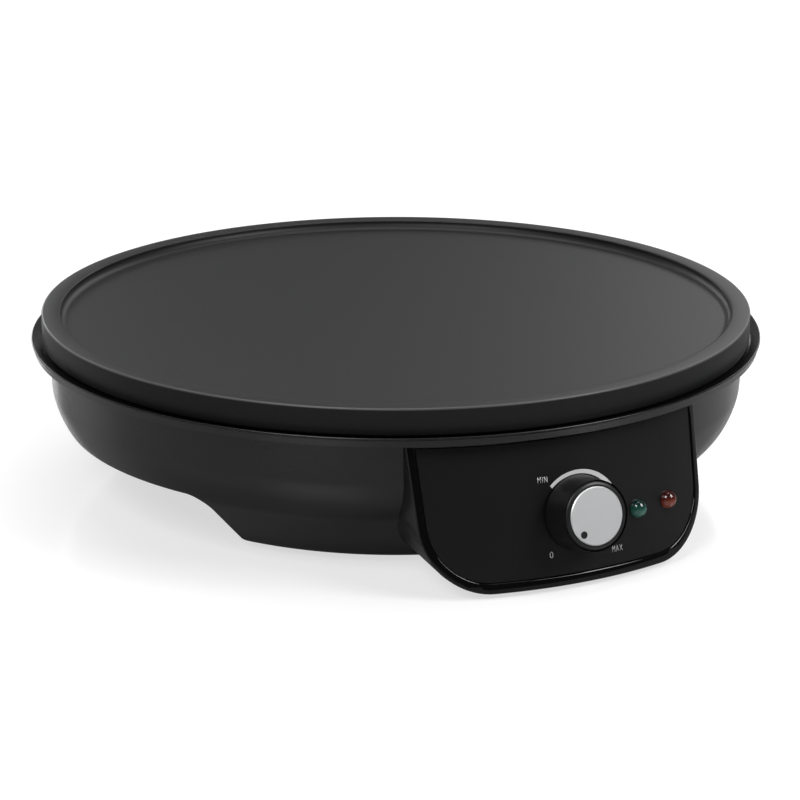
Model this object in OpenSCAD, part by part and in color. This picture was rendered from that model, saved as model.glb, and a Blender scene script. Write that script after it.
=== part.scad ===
// Electric crepe maker: a rimmed cast plate on a bowl-shaped base with a control pod at the front.
// Millimetres, +Z up. The origin is on the floor under the middle of the overall length and width.
// Every piece is drawn round the plate's own axis, and on_axis() moves it to the origin's frame.

/* [Cooking plate] */
// Outside diameter of the plate
plate_d = 304; // [290:1:330]
// Width of the raised rim
rim_w = 8; // [6:0.5:12]
// Depth of the cooking well below the rim
well_depth = 3.8; // [2.5:0.1:5]
// Thickness of the cooking floor
plate_t = 4; // [3:0.1:4.5]
// Height of the rim and skirt together
skirt_h = 11.2; // [10:0.1:13]
// Wall thickness of the skirt under the rim
skirt_t = 3.2; // [2:0.1:4.5]
// Rounding of the rim's outer top edge
rim_round = 1.8; // [0.5:0.1:2.5]
// Fillet between the well's floor and the rim
well_fillet = 3; // [1:0.1:3.2]

/* [Base moulding] */
// Height of the flange's top above the floor
flange_z = 63; // [60:0.1:66]
// Thickness of the flange
flange_t = 2.5; // [2:0.1:3.5]
// How far the flange stands out past the plate
flange_lip = 4; // [3:0.1:6]
// Dark gap between the flange and the plate's skirt
shadow_gap = 0.8; // [0.5:0.1:2]
// How far the bowl's wall sits in from the plate's edge
wall_setback = 5.4; // [4:0.1:7]
// Wall thickness of the moulding
wall_t = 2.5; // [2:0.1:3]
// Height of the straight wall under the flange's top
straight_h = 18.7; // [15:0.1:22]
// Radius of the bowl's upper bend
bend_r = 29.5; // [26:0.5:34]
// Angle from upright of the straight slope under the bend
slope_angle = 41.5; // [38:0.5:44]
// Radius of the rounded edge between the slope and the underside
foot_round = 10; // [7:0.1:14]
// Gap between the moulding's underside and the floor
base_gap = 2.2; // [1.5:0.1:3]

/* [Arch through the base] */
// Width of the arch between the two feet
arch_w = 138; // [130:0.5:146]
// Height of the arch's roof above the floor
arch_z = 27.6; // [25:0.1:29]
// Radius of the arch's upper corners
arch_round = 7; // [5:0.5:9]
// Radius of the foot's lower edge along the arch
arch_flare = 3; // [2:0.5:5]

/* [Control pod] */
// Width of the pod at its foot
pod_w = 125.2; // [120:0.1:130]
// Angle that each side of the pod opens by towards its top
pod_flare = 2.2; // [0:0.1:3]
// Radius of the pod's lower corners
pod_round = 26; // [20:0.5:30]
// How much the lower corners' radius grows for each millimetre back from the pod's nose
pod_grow = 0.2; // [0:0.01:0.22]
// Depth of the nose, back from the face's lowest point, where the corners keep their radius
pod_nose = 14; // [8:1:20]
// Lean of the pod's face from upright
pod_lean = 12.5; // [8:0.5:15]
// How far the top of the pod's face sits in from the flange's edge
pod_setback = 5; // [3:0.1:6]
// Width of the frame beside the panel
frame_w = 3.1; // [2.5:0.1:5]
// Height of the frame below the panel
frame_h = 4; // [3:0.1:6]
// Height of the frame above the panel
frame_top = 1.8; // [1:0.1:3]
// How far the panel sits behind the frame's face
panel_inset = 0.5; // [0.3:0.1:1.2]
// Thickness of the panel
panel_t = 2.2; // [1.8:0.1:3]
// Width of the ledge that carries the panel
ledge_w = 3; // [2:0.1:4]
// Gap round the panel
panel_gap = 0.3; // [0.1:0.05:0.4]

/* [Knob] */
// Height of the knob's axis on the panel
knob_z = 29.1; // [27:0.1:32]
// Diameter of the knob at the panel
knob_base_d = 30; // [28:0.5:32]
// Diameter of the knob at its front
knob_front_d = 27.8; // [25:0.1:31]
// Height of the knob
knob_h = 13.6; // [12:0.1:18]
// Gap between the knob and the panel
knob_gap = 1; // [0.5:0.1:1.5]
// Rounding of the knob's front edge
knob_round = 2.1; // [1:0.1:2.3]
// Diameter of the silver cap
cap_d = 23; // [19:0.1:23.4]
// Thickness of the silver cap
cap_t = 1.4; // [1:0.1:2]
// How far the cap stands proud of the knob
cap_proud = 0.3; // [0.2:0.1:0.6]
// Diameter of the pointer's hole in the cap
dot_d = 2.5; // [1.5:0.1:3]
// Distance of the pointer's hole from the knob's axis
dot_r = 9.2; // [7:0.1:9.6]
// Angle of the pointer at rest, clockwise from straight up
dot_angle = 225; // [215:1:235]

/* [Indicator lights] */
// Distance of the green light from the knob's axis, round the panel
green_arc = 28.2; // [27:0.1:31]
// Distance of the red light from the knob's axis, round the panel
red_arc = 44.8; // [42:0.1:48]
// Height of the lights above the floor
lamp_z = 25.8; // [24:0.1:30]
// Diameter of a lens
lens_d = 7.4; // [6:0.1:8]
// How far a lens stands out of the panel
lens_h = 3.8; // [2:0.1:4]
// Diameter of a lens's shank in the panel
lens_shank_d = 6; // [5.6:0.1:6.4]

/* [Plate fixings] */
// Distance of the three posts from the plate's axis
post_pcd_r = 56; // [54:1:58]
// Diameter of a post and of its spacer
post_d = 10; // [9:0.5:12]
// Diameter of the plate's screws
plate_screw_d = 4; // [3:0.5:5]
// Diameter of a boss under the plate
boss_d = 12; // [11:0.5:14]
// Height of a boss under the plate
boss_h = 8; // [6:0.5:10]
// Height of a heat spacer
spacer_h = 10; // [8:0.5:12]
// Thickness of the heat reflector
reflector_t = 0.8; // [0.5:0.1:1.2]
// Outside diameter of the heat reflector
reflector_d = 226; // [220:1:230]
// Height of the heat reflector's turned-up edge
reflector_rim = 5; // [3:0.5:6]

/* [Heating element] */
// Radius of the element's loop
loop_r = 95; // [90:1:98]
// Diameter of the element's tube
tube_d = 6.5; // [6:0.1:7.5]
// Half the angle of the loop's gap at the rear
loop_gap = 20; // [18:1:24]
// Radius of the bends down to the element's ends
leg_bend_r = 10; // [9:0.5:12]
// Straight length of the element's ends
leg_h = 8; // [6:0.5:10]
// How much thinner than the loop the element's cold ends are
leg_step = 0.5; // [0.3:0.1:1]
// Width of the rib that holds the element
rib_w = 13; // [12:0.5:15]
// Diameter of the element's ceramic bushes
bush_d = 9; // [8:0.5:10]
// Length of the element's ceramic bushes
bush_h = 6; // [4:0.5:7]
// Diameter of the element's cold pins
pin_d = 3; // [2.5:0.1:3.5]
// Length of a cold pin past its bush
pin_h = 7; // [5:0.5:8]

/* [Sensing parts] */
// Diameter of the thermostat's bulb
bulb_d = 5; // [4:0.5:6]
// Length of the thermostat's bulb
bulb_l = 50; // [40:1:60]
// Distance of the bulb from the plate's axis, towards the front
bulb_y = 34; // [30:1:36]
// Diameter of the capillary tube
capillary_d = 1.8; // [1.6:0.1:2.4]
// Diameter of the thermal fuse
fuse_d = 4; // [3.5:0.1:5]
// Length of the thermal fuse
fuse_l = 18; // [15:1:22]
// Distance of the fuse from the plate's axis, towards the rear
fuse_y = 26; // [24:1:28]
// Width of a clamp strap
strap_w = 8; // [7:0.5:10]
// Thickness of a clamp strap
strap_t = 1; // [0.8:0.1:1.5]
// Diameter of the clamps' screws
clamp_screw_d = 3; // [2.5:0.1:3.5]

/* [Thermostat] */
// Diameter of the thermostat's body
stat_d = 34; // [32:0.5:36]
// Depth of the thermostat's body
stat_h = 18; // [15:0.5:20]
// Gap between the panel's back and the bracket
bracket_gap = 8; // [6:0.5:9]
// Thickness of the bracket's steel
bracket_t = 1.2; // [1:0.1:1.6]
// Width of the bracket
bracket_w = 46; // [44:0.5:48]
// Spacing of the thermostat's two screws
stat_screw_gap = 28; // [27:0.5:28]
// Diameter of the thermostat's shaft
shaft_d = 6; // [5:0.1:6.5]
// Distance between the bracket's two fixing screws
bracket_screw_gap = 37; // [36:0.5:38]

/* [Rear fittings] */
// Length of the terminal block
block_l = 36; // [34:1:42]
// Width of the terminal block
block_w = 18; // [16:1:20]
// Height of the terminal block
block_h = 14; // [12:0.5:16]
// Room between the arch and the terminal block, for the leads
block_gap = 12; // [10:0.5:14]
// Height of the cord gland's axis
gland_z = 40; // [38:0.5:44]
// Diameter of the cord gland's bore
gland_bore = 6.8; // [6:0.1:8]
// Diameter of the cord gland where it passes the wall
gland_d = 12; // [11:0.5:14]

/* [Feet] */
// Diameter of a rubber foot
foot_d = 16; // [14:0.5:18]
// Distance of the front feet from the plate's axis
foot_front = 89; // [84:1:92]
// Distance of the rear feet from the plate's axis
foot_rear = 90; // [86:1:92]
// Half the distance between two feet of a pair
foot_x = 44; // [36:1:46]

/* [Leads] */
// Diameter of an internal lead
lead_d = 3; // [2.5:0.1:3.5]

/* [Hidden] */
$fn = 96;

// Overlap that makes neighbouring cuts and joins clean
eps = 0.02;
// How far a cutting tool runs past the face that it cuts
over = 1;
// Radial clearance of screws, pins and shafts in their holes
fit = 0.05;
// Diametral room round a part that passes a hole
pass = 0.4;

// Heights, from the floor up
skirt_z = flange_z + shadow_gap;
rim_z = skirt_z + skirt_h;
well_z = rim_z - well_depth;
under_z = well_z - plate_t;
boss_z = under_z - boss_h;
reflector_top = boss_z - spacer_h;
post_top = reflector_top - reflector_t;
flange_under = flange_z - flange_t;
bend_z = flange_z - straight_h;
roof_z = arch_z + wall_t;
block_front = arch_w / 2 + wall_t + block_gap;
block_y = block_front + block_w / 2;
pan_z = base_gap + wall_t;

// Radii
plate_r = plate_d / 2;
rim_in_r = plate_r - rim_w;
skirt_in_r = plate_r - skirt_t;
flange_r = plate_r + flange_lip;
wall_r = plate_r - wall_setback;
mouth_r = wall_r - wall_t;

// Centres of the bowl's upper bend and of its foot's edge, both tangent to the slope between them
slope_out = [cos(slope_angle), -sin(slope_angle)];
bend_c = [wall_r - bend_r, bend_z];
foot_c_z = base_gap + foot_round;
foot_c = [
  (bend_c * slope_out + bend_r - foot_round - slope_out.y * foot_c_z) / slope_out.x,
  foot_c_z
];

// The pod's face is a cone round the plate's axis that leans out towards the floor
function face_r(z) = flange_r - pod_setback + (flange_under - z) * tan(pod_lean);
panel_back = panel_inset + panel_t;
function pod_half(z) = pod_w / 2 + (z - base_gap) * tan(pod_flare);
panel_low = base_gap + frame_h;
panel_top = flange_under - frame_top;
panel_seat_gap = 0.05;
green_angle = green_arc / face_r(lamp_z) * 180 / PI;
red_angle = red_arc / face_r(lamp_z) * 180 / PI;

// How far the knob reaches forward, and the shift that centres the whole length
cap_chamfer = 0.4;
cap_front = knob_h + cap_proud;
tip_of_cap = cap_front * cos(pod_lean) + (cap_d / 2 - cap_chamfer) * sin(pod_lean);
tip_of_edge = (knob_h - knob_round) * cos(pod_lean)
  + (knob_front_d / 2 - knob_round) * sin(pod_lean) + knob_round;
front_reach = face_r(knob_z) + max(tip_of_cap, tip_of_edge);
axis_y = (front_reach - flange_r) / 2;

// Element
seat_gap = 0.4;
tube_z = under_z - tube_d / 2 - seat_gap;
strap_z = tube_z - tube_d / 2 - fit;
clamp_reach = rib_w / 2 + strap_w / 2 + 1.5;
clamp_angles = [-150, -90, -30];
leg_end_z = tube_z - leg_bend_r - leg_h;
leg_d = tube_d - leg_step;
leg_overlap = 2;
loop_end = 90 - loop_gap;

// Bulb and fuse lie against the plate, each held by one strap
bulb_z = under_z - bulb_d / 2 - fit;
fuse_z = under_z - fuse_d / 2 - fit;
strap_reach = strap_w / 2 + 5;
fuse_x = 26;
fuse_wire_d = 1;
fuse_wire_l = 6;

// Plate's small roundings
under_fillet = 2;
rim_inner_round = 1.2;
skirt_foot_round = 0.8;

// Reflector's holes
leg_room = 8;
capillary_room = 6;

// Screw heads, as multiples of the screw's diameter
head_w = 2;
head_t = 0.65;
plate_head_depth = 3;
screw_bite = 7;

// Flange's roundings and the slots for air in the roof of the arch
flange_round = 0.7;
vent_n = 7;
vent_pitch = 12;
vent_w = 4;
vent_l = 44;
vent_y = 2;

// Thermostat, in the panel's own frame with +Z out of the face
bracket_front = -(panel_back + bracket_gap);
bracket_back = bracket_front - bracket_t;
stat_back = bracket_back - stat_h;
neck_d = 9;
neck_h = 5;
stat_step = 3;
stat_rim = 5;
shaft_depth = 8;
shaft_end_gap = 0.2;
shaft_back = bracket_back - shaft_depth;
shaft_front = knob_h - cap_t + cap_proud - 4;
flat_depth = 1.4;
stat_screw_d = 4;
stat_screw_l = 6;
bracket_foot_h = 3.4;
bracket_foot_z = pan_z + bracket_foot_h;
bracket_foot_l = 14;
bracket_notch = 26;
bracket_top = knob_z + stat_d / 2 + 3 - bracket_foot_z;
bracket_screw_d = 3;
spade = [6.3, 0.8, 9];
spade_x = 9;
spade_up = 8;
spade_tip = stat_back - spade.z + stat_step;

// Knob's hollow back and the hub on its shaft
knob_wall = 2.5;
knob_floor = 3;
hub_wall = 2.5;

// Lenses and the lamps behind them
lens_edge = 0.4;
lens_skin = 0.8;
lens_shank_l = 5;
dome_h = lens_h - lens_edge;
dome_r = (pow(lens_d / 2, 2) + pow(dome_h, 2)) / (2 * dome_h);
lamp_d = 4;
lamp_l = 14;
lamp_room = 0.2;

foot_stem_d = 5;
foot_recess = 1.2;
foot_boss_h = 4;
small_boss_d = 8;
block_boss_h = 3;
gland_seat = wall_r + 1;
gland_flange_d = gland_d + 6;
gland_flange_t = 2;
gland_collar_t = 1.8;
gland_back = mouth_r - 6;
post_angles = [90, 210, 330];

// Terminal block
block_z = pan_z + block_boss_h;
block_slot = [1.5, 5];
block_floor = 3;
block_screw_d = 3;
block_screw_l = 5;
wire_way_d = 4;
clamp_screw_h = 3;
clamp_screw_sunk = 2;

// The capillary runs from the bulb's end, through the reflector, to the thermostat's back
capillary_up = 14;
capillary_hole = [44, -58];
capillary_turn = 10;
capillary_drop = 5.5;

// Where the leads end: the thermostat's blades and the element's pins
leg_pin = [
  loop_r * cos(loop_end) - leg_bend_r * sin(loop_end),
  loop_r * sin(loop_end) + leg_bend_r * cos(loop_end),
  leg_end_z - bush_h - pin_h
];
lead_gap = 0.3;

// The leads' lanes over the arch, and how far they keep from its roof and corners
lead_lane = 26;
lead_rise = 4;
lead_turn = 6;
lead_sweep = 18;

// ---------- helpers ----------

// Moves a piece drawn round the plate's axis to the origin's frame
module on_axis() {
  translate([0, axis_y, 0]) children();
}

// Corner of a profile: added, it fillets an inner corner, and taken away, it rounds an outer one
module corner2d(at, dir, r) {
  translate(at) mirror([dir.x < 0 ? 1 : 0, 0, 0]) mirror([0, dir.y < 0 ? 1 : 0, 0])
    difference() {
      translate([-eps, -eps]) square(r + eps);
      translate([r, r]) circle(r);
    }
}

// Place of a point that is given in the knob's frame: x across, y up the panel and z out of it
function behind_panel(x, y, z) = [
  x,
  -face_r(knob_z) - z * cos(pod_lean) + y * sin(pod_lean),
  knob_z + z * sin(pod_lean) + y * cos(pod_lean)
];

// Frame on the pod's face: +Z points out of the face and +Y up it
module on_face(angle, z) {
  rotate([0, 0, angle]) translate([0, -face_r(z), z]) rotate([90 - pod_lean, 0, 0]) children();
}

// Cone that lies a given depth behind the pod's face
module face_cone(depth) {
  back = depth / cos(pod_lean);
  translate([0, 0, -5])
    cylinder(h = flange_z + 5, r1 = face_r(-5) - back, r2 = face_r(flange_z) - back, $fn = 180);
}

// Points round part of a circle
function arc(c, r, from, to, n = 12) =
  [for (i = [0 : n]) c + r * [cos(from + (to - from) * i / n), sin(from + (to - from) * i / n)]];

// Pod's front outline: its sides open towards the top, and its lower corners are round
function pod_outline(half, low, r, top) =
  let (
    c = half + r * tan(pod_flare) - r / cos(pod_flare),
    reach = half + (top - low) * tan(pod_flare)
  )
  concat(
    [[reach, top], [-reach, top]],
    arc([-c, low + r], r, 180 + pod_flare, 270),
    arc([c, low + r], r, 270, 360 - pod_flare)
  );

// The outline carried straight forward from the plate's axis, each side moved in by an inset
module pod_block(inset, low, r, top) {
  rotate([90, 0, 0]) linear_extrude(face_r(0) + 5)
    polygon(pod_outline(pod_half(low) - inset, low, r, top));
}

// The pod's body: its lower corners keep their radius for a nose's depth, and grow rounder from
// there to the plate's axis
module pod_body(inset, low, r, top) {
  nose_end = face_r(0) - pod_nose;
  rings = [for (ring = [[face_r(0) + 5, r], [nose_end, r], [0, r + pod_grow * nose_end]])
    [for (p = pod_outline(pod_half(low) - inset, low, ring[1], top)) [p.x, -ring[0], p.y]]];
  n = len(rings[0]);
  walls = [for (i = [0, 1]) for (k = [0 : n - 1])
    let (a = i * n + k, b = i * n + (k + 1) % n)
    [a, b, b + n, a + n]];
  caps = [[for (k = [1 : n]) n - k], [for (k = [0 : n - 1]) 2 * n + k]];
  polyhedron(concat(rings[0], rings[1], rings[2]), concat(walls, caps));
}

// Bowl's profile, moved in by a wall's thickness: wall, bend, slope and rounded foot
module bowl2d(inset, low, high) {
  bend_end = bend_c + (bend_r - inset) * slope_out;
  foot_start = foot_c + (foot_round - inset) * slope_out;
  intersection() {
    translate([0, low]) square([wall_r - inset, high - low]);
    union() {
      translate([0, bend_z]) square([wall_r, high]);
      square([foot_c.x, bend_z + eps]);
      polygon([[0, foot_c.y], foot_c, foot_start, bend_end, bend_c, [0, bend_z]]);
      translate(bend_c) circle(bend_r - inset, $fn = 180);
      translate(foot_c) circle(foot_round - inset);
    }
  }
}

// Arch's cross-section, moved out by a wall's thickness: flared feet and rounded upper corners
module arch2d(grow) {
  half = arch_w / 2 + grow;
  top = arch_z + grow;
  low = base_gap + grow;
  flare = arch_flare - grow;
  r = arch_round + grow;
  side = concat(
    [[half + flare, -1]],
    arc([half + flare, low + flare], flare, 270, 180, 8),
    arc([half - r, top - r], r, 0, 90, 8)
  );
  n = len(side);
  polygon(concat(side, [for (i = [1 : n]) [-side[n - i].x, side[n - i].y]]));
}

module arch(grow) {
  rotate([90, 0, 90]) translate([0, 0, -flange_r]) linear_extrude(2 * flange_r) arch2d(grow);
}

// Screw that hangs from its head: the shank points up +Z from z = 0, with the head below
module screw_up(d, l) {
  cylinder(h = l, d = d);
  translate([0, 0, -head_t * d]) difference() {
    cylinder(h = head_t * d, d = head_w * d);
    translate([-head_w * d, -d / 8, -eps]) cube([2 * head_w * d, d / 4, head_t * d / 2]);
  }
}

// Screw driven down: the shank points down from z = 0, with the head above
module screw_down(d, l) {
  mirror([0, 0, 1]) screw_up(d, l);
}

// Flat strap along X with a hole near each end
module strap(reach) {
  hole = clamp_screw_d / 2 + fit;
  difference() {
    union() {
      translate([-reach, -strap_w / 2, -strap_t]) cube([2 * reach, strap_w, strap_t]);
      for (s = [-1, 1]) translate([s * reach, 0, -strap_t]) cylinder(h = strap_t, d = strap_w);
    }
    for (s = [-1, 1]) translate([s * reach, 0, -strap_t - 1]) cylinder(h = strap_t + 2, r = hole);
  }
}

// Pair of bosses that a strap is screwed to, down from the plate's underside
module strap_bosses(reach, low) {
  for (s = [-1, 1]) translate([s * reach, 0, low])
    difference() {
      cylinder(h = under_z - low + eps, d = strap_w);
      translate([0, 0, -1]) cylinder(h = under_z - low + 1 - 0.5, r = clamp_screw_d / 2 + fit);
    }
}

module strap_screws(reach, low) {
  for (s = [-1, 1]) translate([s * reach, 0, low - strap_t])
    screw_up(clamp_screw_d, min(screw_bite, under_z - low + strap_t - 1));
}

// Places of the three element straps, each across the loop
module at_clamps() {
  for (a = clamp_angles) rotate([0, 0, a]) translate([loop_r, 0, 0]) children();
}

module at_bulb() {
  translate([0, -bulb_y, 0]) rotate([0, 0, 90]) children();
}

module at_fuse() {
  translate([fuse_x, fuse_y, 0]) rotate([0, 0, 90]) children();
}

module at_posts() {
  for (a = post_angles) rotate([0, 0, a]) translate([post_pcd_r, 0, 0]) children();
}

module at_feet() {
  for (s = [-1, 1]) {
    translate([s * foot_x, -foot_front, 0]) children();
    translate([s * foot_x, foot_rear, 0]) children();
  }
}

// Frame of the element's two ends: +Y runs on along the tube from the loop's end
module at_loop_ends() {
  for (a = [loop_end, 180 - loop_end])
    rotate([0, 0, a]) translate([loop_r, 0, tube_z]) rotate([0, 0, a > 90 ? 180 : 0]) children();
}

// Round tube along a list of points, as one closed mesh
module tube_along(path, d, sides = 8) {
  n = len(path);
  ways = [for (i = [0 : n - 1]) unit(path[min(i + 1, n - 1)] - path[max(i - 1, 0)])];
  first = unit(cross(ways[0], abs(ways[0].x) > 0.9 ? [0, 0, 1] : [1, 0, 0]));
  sideways = carried(ways, [first]);
  rings = [for (i = [0 : n - 1])
    let (u = sideways[i], v = cross(ways[i], u))
    for (k = [0 : sides - 1])
      path[i] + d / 2 * (cos(360 * k / sides) * u + sin(360 * k / sides) * v)];
  walls = [for (i = [0 : n - 2]) for (k = [0 : sides - 1])
    let (a = i * sides + k, b = i * sides + (k + 1) % sides)
    for (f = [[a, b, b + sides], [a, b + sides, a + sides]]) f];
  caps = concat(
    [for (k = [1 : sides - 2]) [0, k + 1, k]],
    [for (k = [1 : sides - 2]) [(n - 1) * sides, (n - 1) * sides + k, (n - 1) * sides + k + 1]]
  );
  polyhedron(rings, concat(caps, walls));
}

function unit(v) = v / norm(v);

// A side vector carried along the path without twisting
function carried(ways, found) =
  let (i = len(found))
  i == len(ways) ? found
    : let (last = found[i - 1])
      carried(ways, concat(found, [unit(last - (last * ways[i]) * ways[i])]));

// Smooth curve through hand-placed points
function curve(p, steps = 5) = concat(
  [for (i = [0 : len(p) - 2]) for (j = [0 : steps - 1])
    blend4(p[max(i - 1, 0)], p[i], p[i + 1], p[min(i + 2, len(p) - 1)], j / steps)],
  [p[len(p) - 1]]
);
function blend4(a, b, c, d, t) = 0.5 * (2 * b + (c - a) * t
  + (2 * a - 5 * b + 4 * c - d) * t * t + (3 * b - a - 3 * c + d) * t * t * t);

// ---------- plate ----------

module plate2d() {
  difference() {
    union() {
      translate([0, under_z]) square([plate_r - eps, plate_t]);
      translate([rim_in_r, under_z]) square([rim_w, rim_z - under_z]);
      translate([skirt_in_r, skirt_z]) square([skirt_t, skirt_h]);
      corner2d([rim_in_r, well_z], [-1, 1], well_fillet);
      corner2d([skirt_in_r, under_z], [-1, -1], under_fillet);
    }
    corner2d([plate_r, rim_z], [-1, -1], rim_round);
    corner2d([rim_in_r, rim_z], [1, -1], rim_inner_round);
    corner2d([plate_r, skirt_z], [-1, 1], skirt_foot_round);
  }
}

module cooking_plate() {
  seat_r = tube_d / 2 + fit;
  color("#2b2b2c") on_axis() difference() {
    union() {
      rotate_extrude($fn = 240) plate2d();
      // rib that the element is pressed into
      translate([0, 0, tube_z]) rotate_extrude($fn = 180)
        translate([loop_r - rib_w / 2, 0]) square([rib_w, under_z - tube_z + eps]);
      at_posts() translate([0, 0, boss_z]) cylinder(h = boss_h + eps, d = boss_d);
      at_clamps() strap_bosses(clamp_reach, strap_z);
      at_bulb() strap_bosses(strap_reach, bulb_z - bulb_d / 2 - fit);
      at_fuse() strap_bosses(strap_reach, fuse_z - fuse_d / 2 - fit);
    }
    // round seat of the element, open downwards
    translate([0, 0, tube_z]) rotate_extrude($fn = 180) translate([loop_r, 0]) circle(seat_r);
    at_posts() translate([0, 0, boss_z - 1])
      cylinder(h = boss_h + 1, r = plate_screw_d / 2 + fit);
  }
}

module heating_element() {
  color("#8a8f94") on_axis() {
    translate([0, 0, tube_z]) rotate([0, 0, 90 + loop_gap])
      rotate_extrude(angle = 360 - 2 * loop_gap, $fn = 180) translate([loop_r, 0]) circle(d = tube_d);
    at_loop_ends() {
      // cold end: it starts inside the loop, bends down and carries the pin
      rotate([90, 0, 0]) cylinder(h = leg_overlap, d = leg_d);
      translate([0, 0, -leg_bend_r]) rotate([0, -90, 0])
        rotate_extrude(angle = 90) translate([leg_bend_r, 0]) circle(d = leg_d);
      translate([0, leg_bend_r, -leg_bend_r - leg_h]) cylinder(h = leg_h, d = leg_d);
      translate([0, leg_bend_r, -leg_bend_r - leg_h - bush_h - pin_h])
        cylinder(h = bush_h + pin_h + eps, d = pin_d);
    }
  }
}

module element_bushes() {
  color("#e8e4da") on_axis() at_loop_ends()
    translate([0, leg_bend_r, -leg_bend_r - leg_h - bush_h]) difference() {
      cylinder(h = bush_h, d = bush_d);
      translate([0, 0, -1]) cylinder(h = bush_h + 2, r = pin_d / 2 + fit);
    }
}

module element_clamps() {
  color("#b9bcc0") on_axis() at_clamps() translate([0, 0, strap_z]) strap(clamp_reach);
}

module sensor_bulb() {
  color("#c98a5a") on_axis() translate([-bulb_l / 2, -bulb_y, bulb_z]) rotate([0, 90, 0])
    cylinder(h = bulb_l, d = bulb_d);
}

module bulb_clamp() {
  color("#b9bcc0") on_axis() at_bulb() translate([0, 0, bulb_z - bulb_d / 2 - fit])
    strap(strap_reach);
}

module thermal_fuse() {
  color("#d9d3c4") on_axis() translate([fuse_x - fuse_l / 2, fuse_y, fuse_z]) rotate([0, 90, 0]) {
    cylinder(h = fuse_l, d = fuse_d);
    translate([0, 0, -fuse_wire_l]) cylinder(h = fuse_l + 2 * fuse_wire_l, d = fuse_wire_d);
  }
}

module fuse_clamp() {
  color("#b9bcc0") on_axis() at_fuse() translate([0, 0, fuse_z - fuse_d / 2 - fit])
    strap(strap_reach);
}

module clamp_screws() {
  color("#9a9da1") on_axis() {
    at_clamps() strap_screws(clamp_reach, strap_z);
    at_bulb() strap_screws(strap_reach, bulb_z - bulb_d / 2 - fit);
    at_fuse() strap_screws(strap_reach, fuse_z - fuse_d / 2 - fit);
  }
}

module capillary_tube() {
  start = [bulb_l / 2, -bulb_y, bulb_z];
  end = behind_panel(0, capillary_up, stat_back + stat_step);
  route = curve([
    start,
    start + [capillary_turn - 2, -2, -1],
    [capillary_hole.x, capillary_hole.y + capillary_turn, reflector_top + capillary_turn - 3],
    [capillary_hole.x, capillary_hole.y, reflector_top],
    [capillary_hole.x - 4, capillary_hole.y - 1.2 * capillary_turn, post_top - capillary_drop],
    [capillary_hole.x / 2, end.y / 2 + capillary_hole.y / 2 - 4, post_top - capillary_drop],
    end + [0, capillary_turn, 0],
    end
  ]);
  color("#c98a5a") on_axis() tube_along(route, capillary_d);
}

module heat_reflector() {
  r = reflector_d / 2;
  color("#c9ccd0") on_axis() difference() {
    translate([0, 0, post_top]) rotate_extrude($fn = 180) {
      square([r, reflector_t]);
      translate([r - reflector_t, 0]) square([reflector_t, reflector_rim + reflector_t]);
    }
    at_posts() translate([0, 0, post_top - over])
      cylinder(h = reflector_t + 2 * over, r = plate_screw_d / 2 + fit);
    at_loop_ends() translate([0, leg_bend_r, -tube_z + post_top - over])
      cylinder(h = reflector_t + 2 * over, d = bush_d + leg_room);
    translate([capillary_hole.x, capillary_hole.y, post_top - over])
      cylinder(h = reflector_t + 2 * over, d = capillary_d + capillary_room);
  }
}

module plate_spacers() {
  color("#e8e4da") on_axis() at_posts() translate([0, 0, reflector_top]) difference() {
    cylinder(h = spacer_h, d = post_d);
    translate([0, 0, -1]) cylinder(h = spacer_h + 2, r = plate_screw_d / 2 + fit);
  }
}

module plate_screws() {
  low = arch_z + plate_head_depth;
  color("#9a9da1") on_axis() at_posts() translate([0, 0, low])
    screw_up(plate_screw_d, boss_z + screw_bite - low);
}

// ---------- base ----------

module flange2d() {
  difference() {
    translate([mouth_r, flange_under]) square([flange_r - mouth_r, flange_t]);
    corner2d([flange_r, flange_z], [-1, -1], flange_round);
    corner2d([flange_r, flange_under], [-1, 1], flange_round);
  }
}

module base_outside() {
  rotate_extrude($fn = 240) {
    bowl2d(0, base_gap, flange_z - eps);
    flange2d();
  }
  intersection() {
    pod_body(0, base_gap, pod_round, flange_z - 1);
    face_cone(0);
  }
}

module base_inside() {
  r = pod_round - wall_t;
  difference() {
    union() {
      rotate_extrude($fn = 240) bowl2d(wall_t, pan_z, flange_z + 1);
      intersection() {
        pod_body(wall_t, pan_z, r, flange_under);
        face_cone(panel_back + wall_t);
      }
    }
    arch(wall_t);
  }
}

// Room for the panel in front, and the window behind it that leaves a ledge
module panel_seat() {
  r = pod_round - frame_w;
  intersection() {
    pod_block(frame_w, panel_low, r, panel_top);
    difference() {
      face_cone(-2);
      face_cone(panel_back);
    }
  }
  intersection() {
    pod_block(frame_w + ledge_w, panel_low + ledge_w, r - ledge_w, panel_top - ledge_w);
    difference() {
      face_cone(-2);
      face_cone(panel_back + wall_t + 1);
    }
  }
}

// Row of round-ended slots in the roof of the arch
module vents() {
  for (i = [0 : vent_n - 1])
    translate([(i - (vent_n - 1) / 2) * vent_pitch, vent_y, arch_z - over]) {
      translate([-vent_w / 2, -vent_l / 2, 0]) cube([vent_w, vent_l, wall_t + 2 * over]);
      for (s = [-1, 1]) translate([0, s * vent_l / 2, 0]) cylinder(h = wall_t + 2 * over, d = vent_w);
    }
}

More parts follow.
